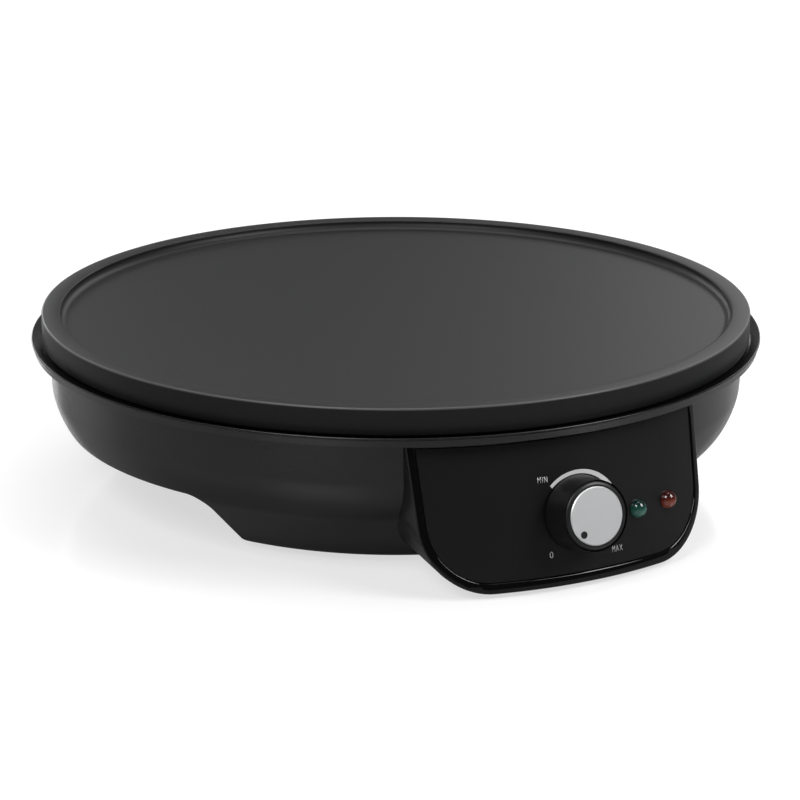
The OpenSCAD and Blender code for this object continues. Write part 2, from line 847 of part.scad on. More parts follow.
module base_shell() {
  color("#202021") on_axis() difference() {
    union() {
      difference() {
        base_outside();
        base_inside();
        arch(0);
        panel_seat();
      }
      at_posts() translate([0, 0, roof_z - over]) cylinder(h = post_top - roof_z + over, d = post_d);
      at_feet() translate([0, 0, pan_z - over]) cylinder(h = foot_boss_h, d = foot_d);
      for (s = [-1, 1]) bracket_post(s);
      translate([0, block_y, pan_z - over]) cylinder(h = block_boss_h + over, d = small_boss_d);
      gland_boss();
    }
    at_posts() {
      translate([0, 0, arch_z - over]) cylinder(h = post_top, r = plate_screw_d / 2 + fit);
      translate([0, 0, arch_z - over])
        cylinder(h = plate_head_depth + over, d = head_w * plate_screw_d + pass);
    }
    at_feet() translate([0, 0, base_gap - over]) {
      cylinder(h = foot_recess + over, d = foot_d + pass);
      cylinder(h = pan_z + foot_boss_h, d = foot_stem_d);
    }
    for (s = [-1, 1]) translate([s * bracket_screw_gap / 2, bracket_foot_y(), pan_z])
      cylinder(h = block_z, r = bracket_screw_d / 2 + fit);
    translate([0, block_y, pan_z]) cylinder(h = block_z, r = block_screw_d / 2 + fit);
    translate([0, gland_back - over, gland_z]) rotate([-90, 0, 0])
      cylinder(h = gland_seat - gland_back + 2 * over, d = gland_d + 2 * fit);
    vents();
  }
}

// Boss that gives the cord gland a flat seat on the curved rear wall
module gland_boss() {
  intersection() {
    translate([0, gland_back, gland_z]) rotate([-90, 0, 0])
      cylinder(h = gland_seat - gland_back, d = gland_flange_d + 2);
    cylinder(h = flange_under, r = flange_r);
  }
}

// Front lower corner of the bracket, as [y, z], and the place of its two screws
function bracket_corner() = [
  -face_r(bracket_foot_z) - bracket_front / cos(pod_lean),
  bracket_foot_z
];
function bracket_foot_y() = bracket_corner().x + bracket_foot_l / 2 + bracket_t;

module bracket_post(s) {
  translate([s * bracket_screw_gap / 2, bracket_foot_y(), pan_z - over])
    cylinder(h = bracket_foot_h + over, d = small_boss_d);
}

module rubber_feet() {
  top = base_gap + foot_recess;
  color("#3a3a3b") on_axis() at_feet() {
    cylinder(h = top, d = foot_d);
    cylinder(h = pan_z + foot_boss_h, d = foot_stem_d - 2 * fit);
  }
}

// ---------- front ----------

module control_panel() {
  r = pod_round - frame_w - panel_gap;
  color("#262627") on_axis() difference() {
    intersection() {
      pod_block(frame_w + panel_gap, panel_low + panel_gap, r, panel_top - panel_gap);
      difference() {
        face_cone(panel_inset);
        face_cone(panel_back - panel_seat_gap);
      }
    }
    on_face(0, knob_z) translate([0, 0, -10]) cylinder(h = 20, d = shaft_d + 2);
    on_face(green_angle, lamp_z) translate([0, 0, -10]) cylinder(h = 20, r = lens_shank_d / 2 + fit);
    on_face(red_angle, lamp_z) translate([0, 0, -10]) cylinder(h = 20, r = lens_shank_d / 2 + fit);
  }
}

module control_knob() {
  low = knob_gap - panel_inset;
  color("#1c1c1d") on_axis() on_face(0, knob_z) difference() {
    rotate_extrude() difference() {
      polygon([[0, low], [knob_base_d / 2, low], [knob_front_d / 2, knob_h], [0, knob_h]]);
      corner2d([knob_front_d / 2, knob_h], [-1, -1], knob_round);
      translate([0, knob_h - cap_t + cap_proud]) square([cap_d / 2 + fit, cap_t + 1]);
    }
    // hollow behind, with a hub that grips the shaft's flat
    translate([0, 0, low - over]) difference() {
      cylinder(h = knob_h - cap_t - knob_floor - low + over, d = knob_front_d - 2 * knob_wall);
      cylinder(h = knob_h, d = shaft_d + 2 * hub_wall);
    }
    translate([0, 0, low - over]) shaft_bore(shaft_front - low + over + fit);
  }
}

// D-shaped bore for the shaft
module shaft_bore(h) {
  difference() {
    cylinder(h = h, r = shaft_d / 2 + fit);
    translate([-shaft_d, shaft_d / 2 - flat_depth + fit, -1]) cube([2 * shaft_d, shaft_d, h + 2]);
  }
}

module knob_cap() {
  low = knob_h - cap_t + cap_proud;
  color("#c4c5c7") on_axis() on_face(0, knob_z) difference() {
    rotate_extrude() difference() {
      translate([0, low]) square([cap_d / 2, cap_t]);
      polygon([
        [cap_d / 2 - cap_chamfer, cap_front], [cap_d / 2 + 1, cap_front - cap_chamfer - 1],
        [cap_d / 2 + 1, cap_front + 1], [cap_d / 2 - cap_chamfer, cap_front + 1]
      ]);
    }
    rotate([0, 0, -dot_angle]) translate([0, dot_r, low - 1]) cylinder(h = cap_t + 2, d = dot_d, $fn = 32);
  }
}

// Domed lens with a hollow shank
module lens() {
  rotate_extrude() difference() {
    union() {
      translate([0, -panel_inset]) square([lens_d / 2, lens_edge]);
      intersection() {
        translate([0, lens_h - panel_inset - dome_r]) circle(dome_r);
        translate([0, lens_edge - panel_inset - eps]) square([lens_d / 2, lens_d]);
      }
      translate([0, -panel_back - lens_shank_l]) square([lens_shank_d / 2, panel_t + lens_shank_l + eps]);
    }
    translate([-over, -panel_back - lens_shank_l - over])
      square([over + lamp_d / 2 + lamp_room, panel_t + lens_shank_l + over - lens_skin]);
    translate([-lens_d, -lens_d - lens_shank_l]) square([lens_d, 3 * lens_d]);
  }
}

module green_lens() {
  color("#3f6b5c") on_axis() on_face(green_angle, lamp_z) lens();
}

module red_lens() {
  color("#6b2a20") on_axis() on_face(red_angle, lamp_z) lens();
}

module neon_lamps() {
  color("#d8b48a") on_axis() for (a = [green_angle, red_angle]) on_face(a, lamp_z)
    translate([0, 0, -panel_back - lamp_l])
      cylinder(h = lamp_l + panel_t - lens_skin - lamp_room, d = lamp_d);
}

// ---------- thermostat ----------

module thermostat_body() {
  color("#5a4a3a") on_axis() on_face(0, knob_z) difference() {
    union() {
      translate([0, 0, stat_back + stat_step]) cylinder(h = stat_h - stat_step, d = stat_d);
      translate([0, 0, stat_back]) cylinder(h = stat_step + eps, d = stat_d - 2 * stat_rim);
      translate([0, 0, bracket_back - eps]) cylinder(h = bracket_t + neck_h, d = neck_d);
      for (s = [-1, 1]) translate([s * spade_x - spade.x / 2, spade_up - spade.y / 2, spade_tip])
        cube(spade + [0, 0, over]);
    }
    translate([0, 0, shaft_back]) cylinder(h = 2 * stat_h, r = shaft_d / 2 + fit);
    for (s = [-1, 1]) translate([s * stat_screw_gap / 2, 0, bracket_front - stat_screw_l])
      cylinder(h = stat_h, r = stat_screw_d / 2 + fit);
  }
}

module thermostat_shaft() {
  back = shaft_back + shaft_end_gap;
  color("#b9bcc0") on_axis() on_face(0, knob_z) difference() {
    translate([0, 0, back]) cylinder(h = shaft_front - back, d = shaft_d);
    translate([-shaft_d, shaft_d / 2 - flat_depth, knob_gap - panel_inset - over])
      cube([2 * shaft_d, shaft_d, knob_h]);
  }
}

// Bent sheet: a leaning leg up behind the panel and a flat foot on the two posts
module thermostat_bracket() {
  up = [sin(pod_lean), cos(pod_lean)];
  out = [-cos(pod_lean), sin(pod_lean)];
  foot = bracket_corner();
  tall = bracket_top / cos(pod_lean);
  corner = foot.x + bracket_t * (1 + sin(pod_lean)) / cos(pod_lean);
  color("#b9bcc0") on_axis() difference() {
    rotate([90, 0, 90]) translate([0, 0, -bracket_w / 2]) linear_extrude(bracket_w) polygon([
      foot,
      foot + tall * up,
      foot + tall * up - bracket_t * out,
      [corner, foot.y + bracket_t],
      foot + [bracket_foot_l, bracket_t],
      foot + [bracket_foot_l, 0]
    ]);
    on_face(0, knob_z) {
      translate([0, 0, bracket_back - over])
        cylinder(h = bracket_t + 2 * over, r = neck_d / 2 + fit);
      for (s = [-1, 1]) translate([s * stat_screw_gap / 2, 0, bracket_back - over])
        cylinder(h = bracket_t + 2 * over, r = stat_screw_d / 2 + fit);
    }
    for (s = [-1, 1]) translate([s * bracket_screw_gap / 2, bracket_foot_y(), bracket_foot_z - over])
      cylinder(h = bracket_t + 2 * over, r = bracket_screw_d / 2 + fit);
    // room for the body between the foot's two tabs
    translate([-bracket_notch / 2, corner, bracket_foot_z - over])
      cube([bracket_notch, bracket_foot_l, bracket_t + over]);
  }
}

module thermostat_screws() {
  color("#9a9da1") on_axis() on_face(0, knob_z) for (s = [-1, 1])
    translate([s * stat_screw_gap / 2, 0, bracket_front]) screw_down(stat_screw_d, stat_screw_l);
}

module bracket_screws() {
  color("#9a9da1") on_axis() for (s = [-1, 1])
    translate([s * bracket_screw_gap / 2, bracket_foot_y(), bracket_foot_z + bracket_t])
      screw_down(bracket_screw_d, bracket_foot_h + bracket_t);
}

// ---------- rear ----------

// Ways of the two wires and their clamping screws, one cell at each end of the block
module at_cells() {
  for (s = [-1, 1]) translate([s * block_l / 3, 0, 0]) children();
}

module terminal_block() {
  color("#e9e6dd") on_axis() translate([0, block_y, block_z]) difference() {
    translate([-block_l / 2, -block_w / 2, 0]) cube([block_l, block_w, block_h]);
    // slots between the cells
    for (s = [-1, 1]) translate([s * block_l / 6 - block_slot.x / 2, -block_w, block_h - block_slot.y])
      cube([block_slot.x, 2 * block_w, block_slot.y + over]);
    at_cells() {
      translate([0, 0, block_h / 2]) rotate([90, 0, 0])
        cylinder(h = 2 * block_w, d = wire_way_d, center = true);
      for (s = [-1, 1]) translate([0, s * block_w / 4, block_h / 2])
        cylinder(h = block_h, r = clamp_screw_d / 2 + fit);
    }
    translate([0, 0, -over]) cylinder(h = block_h + 2 * over, r = block_screw_d / 2 + fit);
    translate([0, 0, block_floor]) cylinder(h = block_h, d = head_w * block_screw_d + over);
  }
}

module terminal_screws() {
  color("#b59a55") on_axis() translate([0, block_y, block_z + block_h - clamp_screw_sunk])
    at_cells() for (s = [-1, 1]) translate([0, s * block_w / 4, -clamp_screw_h])
      cylinder(h = clamp_screw_h, d = clamp_screw_d);
}

module block_screw() {
  color("#9a9da1") on_axis() translate([0, block_y, block_z + block_floor])
    screw_down(block_screw_d, block_screw_l);
}

module cord_gland() {
  color("#19191a") on_axis() translate([0, 0, gland_z]) rotate([-90, 0, 0]) difference() {
    union() {
      translate([0, 0, gland_back - gland_collar_t])
        cylinder(h = gland_seat - gland_back + gland_collar_t + gland_flange_t, d = gland_d);
      translate([0, 0, gland_seat]) cylinder(h = gland_flange_t, d = gland_flange_d);
      translate([0, 0, gland_back - gland_collar_t]) cylinder(h = gland_collar_t, d = gland_d + 3);
    }
    cylinder(h = 2 * flange_r, d = gland_bore);
  }
}

// ---------- leads ----------

// Start of a lead: straight out of its way in the block, then up
function from_block(x) = [
  [x, block_front + 2, block_z + block_h / 2],
  [x, block_front - 1, block_z + block_h / 2],
  [x, block_front - lead_turn, block_z + block_h / 2 + lead_turn]
];

// Middle of a lead: up round the arch's rear corner and along its roof to the front
function over_arch(x) = [
  [x, arch_w / 2, roof_z + 2 * lead_rise],
  [x, arch_w / 3, roof_z + lead_rise],
  [x, 0, roof_z + lead_rise],
  [x, -arch_w / 3, roof_z + lead_rise],
  [x, -arch_w / 2, roof_z + 2 * lead_rise]
];

// End of a lead on one of the thermostat's blades
function to_spade(side) =
  let (tip = behind_panel(side * spade_x, spade_up, spade_tip))
  [
    tip + [side * lead_turn, lead_sweep, lead_turn / 2],
    tip + [0, lead_turn, 0],
    tip + [0, lead_gap, 0]
  ];

// End of a lead under one of the element's pins
function to_pin(side) = [
  [side * leg_pin.x, leg_pin.y - lead_turn, leg_pin.z - lead_turn],
  [side * leg_pin.x, leg_pin.y, leg_pin.z - lead_rise],
  [side * leg_pin.x, leg_pin.y, leg_pin.z - lead_gap]
];

function reversed(points) = [for (i = [len(points) - 1 : -1 : 0]) points[i]];

module live_lead() {
  color("#7a4a2c") on_axis()
    tube_along(curve(concat(from_block(-block_l / 3), over_arch(-lead_lane), to_spade(-1))), lead_d);
}

module load_lead() {
  color("#3b3b3d") on_axis()
    tube_along(curve(concat(reversed(concat(over_arch(lead_lane), to_spade(1))), to_pin(1))), lead_d);
}

module neutral_lead() {
  color("#3a5f8a") on_axis() tube_along(curve(concat(from_block(block_l / 3), [
    [0, block_front - 2 * lead_turn, leg_pin.z]
  ], to_pin(-1))), lead_d);
}

cooking_plate();
heating_element();
element_bushes();
element_clamps();
sensor_bulb();
bulb_clamp();
thermal_fuse();
fuse_clamp();
clamp_screws();
capillary_tube();
heat_reflector();
plate_spacers();
plate_screws();
base_shell();
rubber_feet();
control_panel();
control_knob();
knob_cap();
green_lens();
red_lens();
neon_lamps();
thermostat_body();
thermostat_shaft();
thermostat_bracket();
thermostat_screws();
bracket_screws();
terminal_block();
terminal_screws();
block_screw();
cord_gland();
live_lead();
load_lead();
neutral_lead();
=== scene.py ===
import math

import bpy
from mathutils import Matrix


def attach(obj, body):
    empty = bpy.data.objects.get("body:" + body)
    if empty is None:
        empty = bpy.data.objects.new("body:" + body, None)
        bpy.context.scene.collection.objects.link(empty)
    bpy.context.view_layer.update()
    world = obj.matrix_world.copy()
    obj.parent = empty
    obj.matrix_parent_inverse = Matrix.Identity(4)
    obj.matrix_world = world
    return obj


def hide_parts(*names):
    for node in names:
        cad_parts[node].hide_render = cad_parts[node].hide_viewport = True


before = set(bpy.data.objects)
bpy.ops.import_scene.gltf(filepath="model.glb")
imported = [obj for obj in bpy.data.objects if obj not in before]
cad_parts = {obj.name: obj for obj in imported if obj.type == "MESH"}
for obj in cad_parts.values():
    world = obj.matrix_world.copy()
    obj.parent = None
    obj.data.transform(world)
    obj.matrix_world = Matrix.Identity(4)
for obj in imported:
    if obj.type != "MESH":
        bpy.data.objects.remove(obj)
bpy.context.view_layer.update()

# ---------- sizes of the part, in millimetres ----------
AXIS_Y = 8.9671          # the plate's axis lies this far behind the frame's origin
PLATE_R = 152.0
RIM_Z = 75.0
RIM_W = 8.0
WELL_Z = 71.2
PLATE_UNDER = 67.2
SKIRT_Z = 63.8
SKIRT_T = 3.2
FLANGE_R = 156.0
FLANGE_Z = 63.0
FLANGE_UNDER = 60.5
LIP_Z = 64.65            # top of the low lip round the flange's edge
LIP_W = 3.4              # the flange's top rises to the lip over this width
WALL_R = 147.9           # at the bend
WALL_TOP_R = 149.4       # under the flange
WALL_T = 2.5
BASE_GAP = 2.2           # height of the moulding above the table
BEND_Z = 44.5
BEND_R = 29.5
SLOPE = math.radians(43)
FOOT_ROUND = 10.0
ARCH_HALF = 60.0
ARCH_STRAIGHT = 88.0     # beyond this distance from the middle the arch's sides spread
ARCH_SPREAD = 0.38
ARCH_Z = 28.2
ARCH_ROUND = 7.0
ARCH_FLARE = 3.0
FACE_TOP_R = 151.0       # radius of the pod's leaning face where it meets the flange
LEAN = math.radians(12.5)
POD_FOOT_HALF = 62.6
POD_FLARE = math.radians(2.2)
POD_ROUND = 26.0
POD_GROW = 0.2           # the lower corners' growth in radius per millimetre behind the nose
POD_NOSE_END = 150.4     # how far in front of the plate's axis that growth starts
POD_DEPTH = 60.0         # how far the pod reaches back into the bowl
FRAME_SIDE = 3.1
FRAME_LOW = 4.0
FRAME_TOP = 1.8
PANEL_BACK = 2.7
PANEL_INSET = 0.5
LEDGE = 3.0
FRAME_OUT_ROUND = 0.6
FRAME_IN_ROUND = 0.5
KNOB_Z = 29.1
CAP_FRONT = 13.9         # from the pod's face to the cap's front, along the knob's axis
DOT_D = 2.9
DOT_OFF = 6.4            # the dot's place left of the knob's axis, and below it
LETTER_SIZE = 3.6
INK_T = 0.03
INK_LIFT = 0.04          # from the panel to the middle of the ink
LENS_PALE_Z = 23.3       # where a lens's painted light is palest, low on its dome
LENS_DEEP_Z = 29.6
POST_R = 56.0
POST_TOP = 48.4
POST_D = 10.0
POST_BORE = 4.1
POST_ANGLES = (90, 210, 330)
SCREW_SEAT = 30.6        # height of the seat for the plate's screws, under the arch
SCREW_RECESS_D = 8.4
FOOT_X = 44.0
FOOT_FRONT = 89.0
FOOT_REAR = 90.0
FOOT_D = 16.0
FOOT_BORE = 5.0
FOOT_BOSS_H = 4.0
FOOT_RECESS = 1.2
BRACKET_Y = 143.46
BRACKET_GAP = 37.0
BRACKET_BOSS_H = 3.4
BLOCK_Y = 92.5
BLOCK_BOSS_H = 3.0
BOSS_D = 8.0
PILOT_D = 3.1
PILOT_FLOOR = 0.2        # what a blind hole leaves above the pan's floor
ROOT = 0.5               # a boss starts this far inside the wall that it stands on
GLAND_Z = 40.0
GLAND_BORE = 12.1
GLAND_FLAT_D = 20.0      # the boss behind the gland, and the flat round it outside
GLAND_BACK = 138.1
GLAND_SEAT = 147.6
VENTS = 7
VENT_PITCH = 12.0
VENT_W = 4.0
VENT_L = 44.0
VENT_Y = 2.0
STEPS = 256              # of a whole turn
EDGE_ANGLE = 30          # degrees past which an edge is shaded sharp

# ---------- light levels ----------
FLOOR_GREY = "#b0b0b0"
FLOOR_LIFT = 0.65        # light that the table adds near the object, where the camera sees it
LIFT_FROM = 0.35         # it grows to pure white between these distances, in metres
LIFT_TO = 1.2
REFLECTED_LIFT = 0.3     # the same in a reflection, behind the object
REFLECTED_FROM = 0.05    # it grows to that between these distances toward the back, in metres
REFLECTED_TO = 0.7
ROOM_BACK = 0.175
ROOM_FRONT = 0.05


# ---------- hand tools ----------

def pick(piece):
    """Only this piece is selected and active"""
    if bpy.context.object and bpy.context.object.mode != "OBJECT":
        bpy.ops.object.mode_set(mode="OBJECT")
    bpy.ops.object.select_all(action="DESELECT")
    piece.select_set(True)
    bpy.context.view_layer.objects.active = piece


def choose(piece, kind, test):
    """In edit mode, selects the vertices, edges or faces whose points all pass a test"""
    pick(piece)
    bpy.ops.object.mode_set(mode="EDIT")
    bpy.ops.mesh.select_mode(type=kind)
    bpy.ops.mesh.select_all(action="DESELECT")
    bpy.ops.object.mode_set(mode="OBJECT")
    mesh = piece.data
    items = {"VERT": mesh.vertices, "EDGE": mesh.edges, "FACE": mesh.polygons}[kind]
    for item in items:
        if kind == "VERT":
            item.select = bool(test([item.co]))
        else:
            item.select = bool(test([mesh.vertices[i].co for i in item.vertices]))
    bpy.ops.object.mode_set(mode="EDIT")


def apply_modifiers(piece):
    pick(piece)
    for modifier in list(piece.modifiers):
        bpy.ops.object.modifier_apply(modifier=modifier.name)


def cut(piece, tool, operation="DIFFERENCE"):
    """Cuts, joins or crosses a piece with a tool, which is then thrown away"""
    boolean = piece.modifiers.new("cut", "BOOLEAN")
    boolean.operation = operation
    boolean.solver = "EXACT"
    boolean.object = tool
    apply_modifiers(piece)
    bpy.data.objects.remove(tool, do_unlink=True)


def clean(piece):
    """Doubled points are merged and the faces turned outward"""
    pick(piece)
    bpy.ops.object.mode_set(mode="EDIT")
    bpy.ops.mesh.select_all(action="SELECT")
    bpy.ops.mesh.remove_doubles(threshold=1e-6)
    bpy.ops.mesh.normals_make_consistent(inside=False)
    bpy.ops.object.mode_set(mode="OBJECT")


def smooth(piece):
    pick(piece)
    bpy.ops.object.shade_smooth_by_angle(angle=math.radians(EDGE_ANGLE))


def settle(piece):
    """The piece's place goes into its mesh"""
    pick(piece)
    bpy.ops.object.transform_apply(location=True, rotation=True, scale=True)


def at(r, z):
    """A test for the vertices that lie here in the X-Z plane, in millimetres"""
    return lambda p: math.hypot(p[0].x * 1000 - r, p[0].z * 1000 - z) < 1e-3


def drawn(name, points, rounds=()):
    """An outline in the X-Z plane, drawn point by point in millimetres, with its face. Each round
    is a corner's number, its radius and the segments of its arc"""
    bpy.ops.mesh.primitive_plane_add(size=0.001)
    piece = bpy.context.object
    piece.name = name
    bpy.ops.object.mode_set(mode="EDIT")
    bpy.ops.mesh.select_mode(type="VERT")
    bpy.ops.mesh.select_all(action="SELECT")
    bpy.ops.mesh.merge(type="CENTER")
    bpy.ops.transform.translate(value=(points[0][0] / 1000, 0, points[0][1] / 1000))
    for a, b in zip(points, points[1:]):
        step = ((b[0] - a[0]) / 1000, 0, (b[1] - a[1]) / 1000)
        bpy.ops.mesh.extrude_region_move(TRANSFORM_OT_translate={"value": step})
    bpy.ops.mesh.select_all(action="SELECT")
    bpy.ops.mesh.edge_face_add()
    for corner, radius, segments in rounds:
        before, here, after = points[corner - 1], points[corner], points[(corner + 1) % len(points)]
        ways = [math.atan2(q[1] - p[1], q[0] - p[0]) for p, q in ((before, here), (here, after))]
        turn = abs((ways[1] - ways[0] + math.pi) % (2 * math.pi) - math.pi)
        choose(piece, "VERT", at(*here))
        bpy.ops.mesh.bevel(offset=radius * math.tan(turn / 2) / 1000, offset_type="OFFSET",
                           segments=segments, profile=0.5, affect="VERTICES", clamp_overlap=False)
    bpy.ops.object.mode_set(mode="OBJECT")
    return piece


def turned(piece):
    """Turns an outline that starts and ends on the axis once round Z"""
    pick(piece)
    bpy.ops.object.mode_set(mode="EDIT")
    bpy.ops.mesh.select_all(action="SELECT")
    bpy.ops.mesh.delete(type="ONLY_FACE")
    choose(piece, "EDGE", lambda p: all(abs(q.x) < 1e-7 for q in p))
    bpy.ops.mesh.delete(type="EDGE")
    bpy.ops.mesh.select_all(action="SELECT")
    bpy.ops.mesh.spin(steps=STEPS, angle=2 * math.pi, center=(0, 0, 0), axis=(0, 0, 1))
    bpy.ops.object.mode_set(mode="OBJECT")
    clean(piece)
    return piece


def drawn_out(piece, depth):
    """Gives an outline in X-Z a depth along Y, in millimetres, half to each side"""
    pick(piece)
    bpy.ops.object.mode_set(mode="EDIT")
    bpy.ops.mesh.select_all(action="SELECT")
    bpy.ops.transform.translate(value=(0, -depth / 2000, 0))
    bpy.ops.mesh.extrude_region_move(TRANSFORM_OT_translate={"value": (0, depth / 1000, 0)})
    bpy.ops.object.mode_set(mode="OBJECT")
    clean(piece)
    return piece


def post(x, y, low, high, diameter):
    """A round bar, upright"""
    bpy.ops.mesh.primitive_cylinder_add(vertices=48, radius=diameter / 2000,
                                        depth=(high - low) / 1000,
                                        location=(x / 1000, y / 1000, (low + high) / 2000))
    piece = bpy.context.object
    settle(piece)
    return piece


def bar(y_front, y_back, diameter):
    """A round bar from front to back, at the cord gland's height"""
    bpy.ops.mesh.primitive_cylinder_add(vertices=64, radius=diameter / 2000,
                                        depth=(y_back - y_front) / 1000,
                                        location=(0, (y_front + y_back) / 2000, GLAND_Z / 1000),
                                        rotation=(math.pi / 2, 0, 0))
    piece = bpy.context.object
    settle(piece)
    return piece


def joined(pieces):
    """Makes one object of pieces that don't touch"""
    pick(pieces[0])
    for piece in pieces:
        piece.select_set(True)
    bpy.ops.object.join()
    return bpy.context.object


# ---------- camera ----------
# A long lens, a little above the plate and to the left of the pod
bpy.ops.object.camera_add(location=(-0.5202, -1.0230, 0.3979),
                          rotation=(math.radians(72.35), 0, math.radians(-26.84)))
camera = bpy.context.object
camera.name = "camera"
camera.data.lens = 125
camera.data.sensor_width = 36
camera.data.dof.use_dof = False
bpy.context.scene.camera = camera
bpy.context.scene.view_settings.view_transform = "Standard"


# ---------- node tools ----------

def linear(colour):
    """sRGB hex value to linear red, green, blue and alpha"""
    parts = [int(colour[i:i + 2], 16) / 255 for i in (1, 3, 5)]
    return [p / 12.92 if p <= 0.04045 else ((p + 0.055) / 1.055) ** 2.4 for p in parts] + [1.0]


def put(tree, kind, inputs=None, **settings):
    """Adds a node with its settings, and sets or links its inputs"""
    made = tree.nodes.new(kind)
    for name, value in settings.items():
        setattr(made, name, value)
    for name, value in (inputs or {}).items():
        socket = made.inputs[name]
        if isinstance(value, bpy.types.NodeSocket):
            tree.links.new(value, socket)
        else:
            socket.default_value = value
    return made


def new_tree(name):
    made = bpy.data.materials.new(name)
    made.use_nodes = True
    made.node_tree.nodes.clear()
    return made, made.node_tree


def per_mm(size):
    """Noise scale, on coordinates in metres, that gives features of this size in millimetres"""
    return 1000.0 / size


def from_axis(tree, parts):
    """How far a point lies from the plate's axis, in metres"""
    away = put(tree, "ShaderNodeMath", {0: parts.outputs["Y"], 1: AXIS_Y / 1000},
               operation="SUBTRACT")
    flat = put(tree, "ShaderNodeCombineXYZ", {"X": parts.outputs["X"], "Y": away.outputs[0]})
    far = put(tree, "ShaderNodeVectorMath", {0: flat.outputs[0]}, operation="LENGTH")
    return far.outputs["Value"]


def seen_straight(tree, ray):
    """1 for the camera's own rays and for those through glass"""
    return put(tree, "ShaderNodeMath", {0: ray.outputs["Is Camera Ray"],
                                        1: ray.outputs["Is Transmission Ray"]},
               operation="MAXIMUM").outputs[0]


# ---------- materials ----------

def moulded(name, colour, roughness, depth, grain=0.5, specular=0.5):
    """Injection-moulded plastic: even colour, the fine grain of its spark-eroded mould, and slight
    broad changes of gloss where the plastic flowed. Depth and grain size are in millimetres"""
    made, tree = new_tree(name)
    place = put(tree, "ShaderNodeTexCoord").outputs["Object"]
    grit = put(tree, "ShaderNodeTexNoise", {"Vector": place, "Scale": per_mm(grain), "Detail": 3.0,
                                           "Roughness": 0.6})
    flow = put(tree, "ShaderNodeTexNoise", {"Vector": place, "Scale": per_mm(45), "Detail": 2.0})
    gloss = put(tree, "ShaderNodeMapRange", {"Value": flow.outputs["Fac"],
                                            "From Min": 0.3, "From Max": 0.7,
                                            "To Min": roughness - 0.03, "To Max": roughness + 0.03})
    relief = put(tree, "ShaderNodeBump", {"Height": grit.outputs["Fac"], "Strength": 0.25,
                                         "Distance": depth / 1000})
    shader = put(tree, "ShaderNodeBsdfPrincipled", {
        "Base Color": linear(colour), "Roughness": gloss.outputs["Result"], "IOR": 1.5,
        "Specular IOR Level": specular, "Normal": relief.outputs["Normal"]})
    put(tree, "ShaderNodeOutputMaterial", {"Surface": shader.outputs[0]})
    return made


def base_plastic():
    """Black polypropylene from a finely eroded mould: a soft satin, with the band round the panel
    polished in the mould"""
    made, tree = new_tree("moulded_polypropylene_black")
    place = put(tree, "ShaderNodeTexCoord").outputs["Object"]
    parts = put(tree, "ShaderNodeSeparateXYZ", {"Vector": place})
    # how far the point lies behind the pod's leaning face
    drop = put(tree, "ShaderNodeMath", {0: FLANGE_UNDER / 1000, 1: parts.outputs["Z"]},
               operation="SUBTRACT")
    face = put(tree, "ShaderNodeMath", {0: drop.outputs[0], 1: math.tan(LEAN),
                                        2: FACE_TOP_R / 1000}, operation="MULTIPLY_ADD")
    behind = put(tree, "ShaderNodeMath", {0: face.outputs[0], 1: from_axis(tree, parts)},
                 operation="SUBTRACT")
    under_flange = put(tree, "ShaderNodeMath", {0: parts.outputs["Z"], 1: FLANGE_UNDER / 1000},
                       operation="LESS_THAN")
    near = put(tree, "ShaderNodeMapRange", {"Value": behind.outputs[0],
                                           "From Min": FRAME_OUT_ROUND / 1000,
                                           "From Max": (FRAME_OUT_ROUND + 0.3) / 1000,
                                           "To Min": 1.0, "To Max": 0.0})
    band = put(tree, "ShaderNodeMath", {0: near.outputs["Result"], 1: under_flange.outputs[0]},
               operation="MULTIPLY")
    grit = put(tree, "ShaderNodeTexNoise", {"Vector": place, "Scale": per_mm(0.6), "Detail": 3.0,
                                           "Roughness": 0.6})
    flow = put(tree, "ShaderNodeTexNoise", {"Vector": place, "Scale": per_mm(45), "Detail": 2.0})
    satin = put(tree, "ShaderNodeMapRange", {"Value": flow.outputs["Fac"],
                                            "From Min": 0.3, "From Max": 0.7,
                                            "To Min": 0.25, "To Max": 0.29})
    gloss = put(tree, "ShaderNodeMix", {"Factor": band.outputs[0], "A": satin.outputs["Result"],
                                       "B": 0.08}, data_type="FLOAT")
    tooth = put(tree, "ShaderNodeMath", {0: 1.0, 1: band.outputs[0]}, operation="SUBTRACT")
    grain = put(tree, "ShaderNodeMath", {0: tooth.outputs[0], 1: 0.25}, operation="MULTIPLY")
    colour = put(tree, "ShaderNodeMixRGB", {"Fac": band.outputs[0], "Color1": linear("#101011"),
                                           "Color2": linear("#050505")})
    relief = put(tree, "ShaderNodeBump", {"Height": grit.outputs["Fac"],
                                         "Strength": grain.outputs[0], "Distance": 0.00002})
    shader = put(tree, "ShaderNodeBsdfPrincipled", {
        "Base Color": colour.outputs["Color"], "Roughness": gloss.outputs["Result"], "IOR": 1.49,
        "Normal": relief.outputs["Normal"]})
    put(tree, "ShaderNodeOutputMaterial", {"Surface": shader.outputs[0]})
    return made


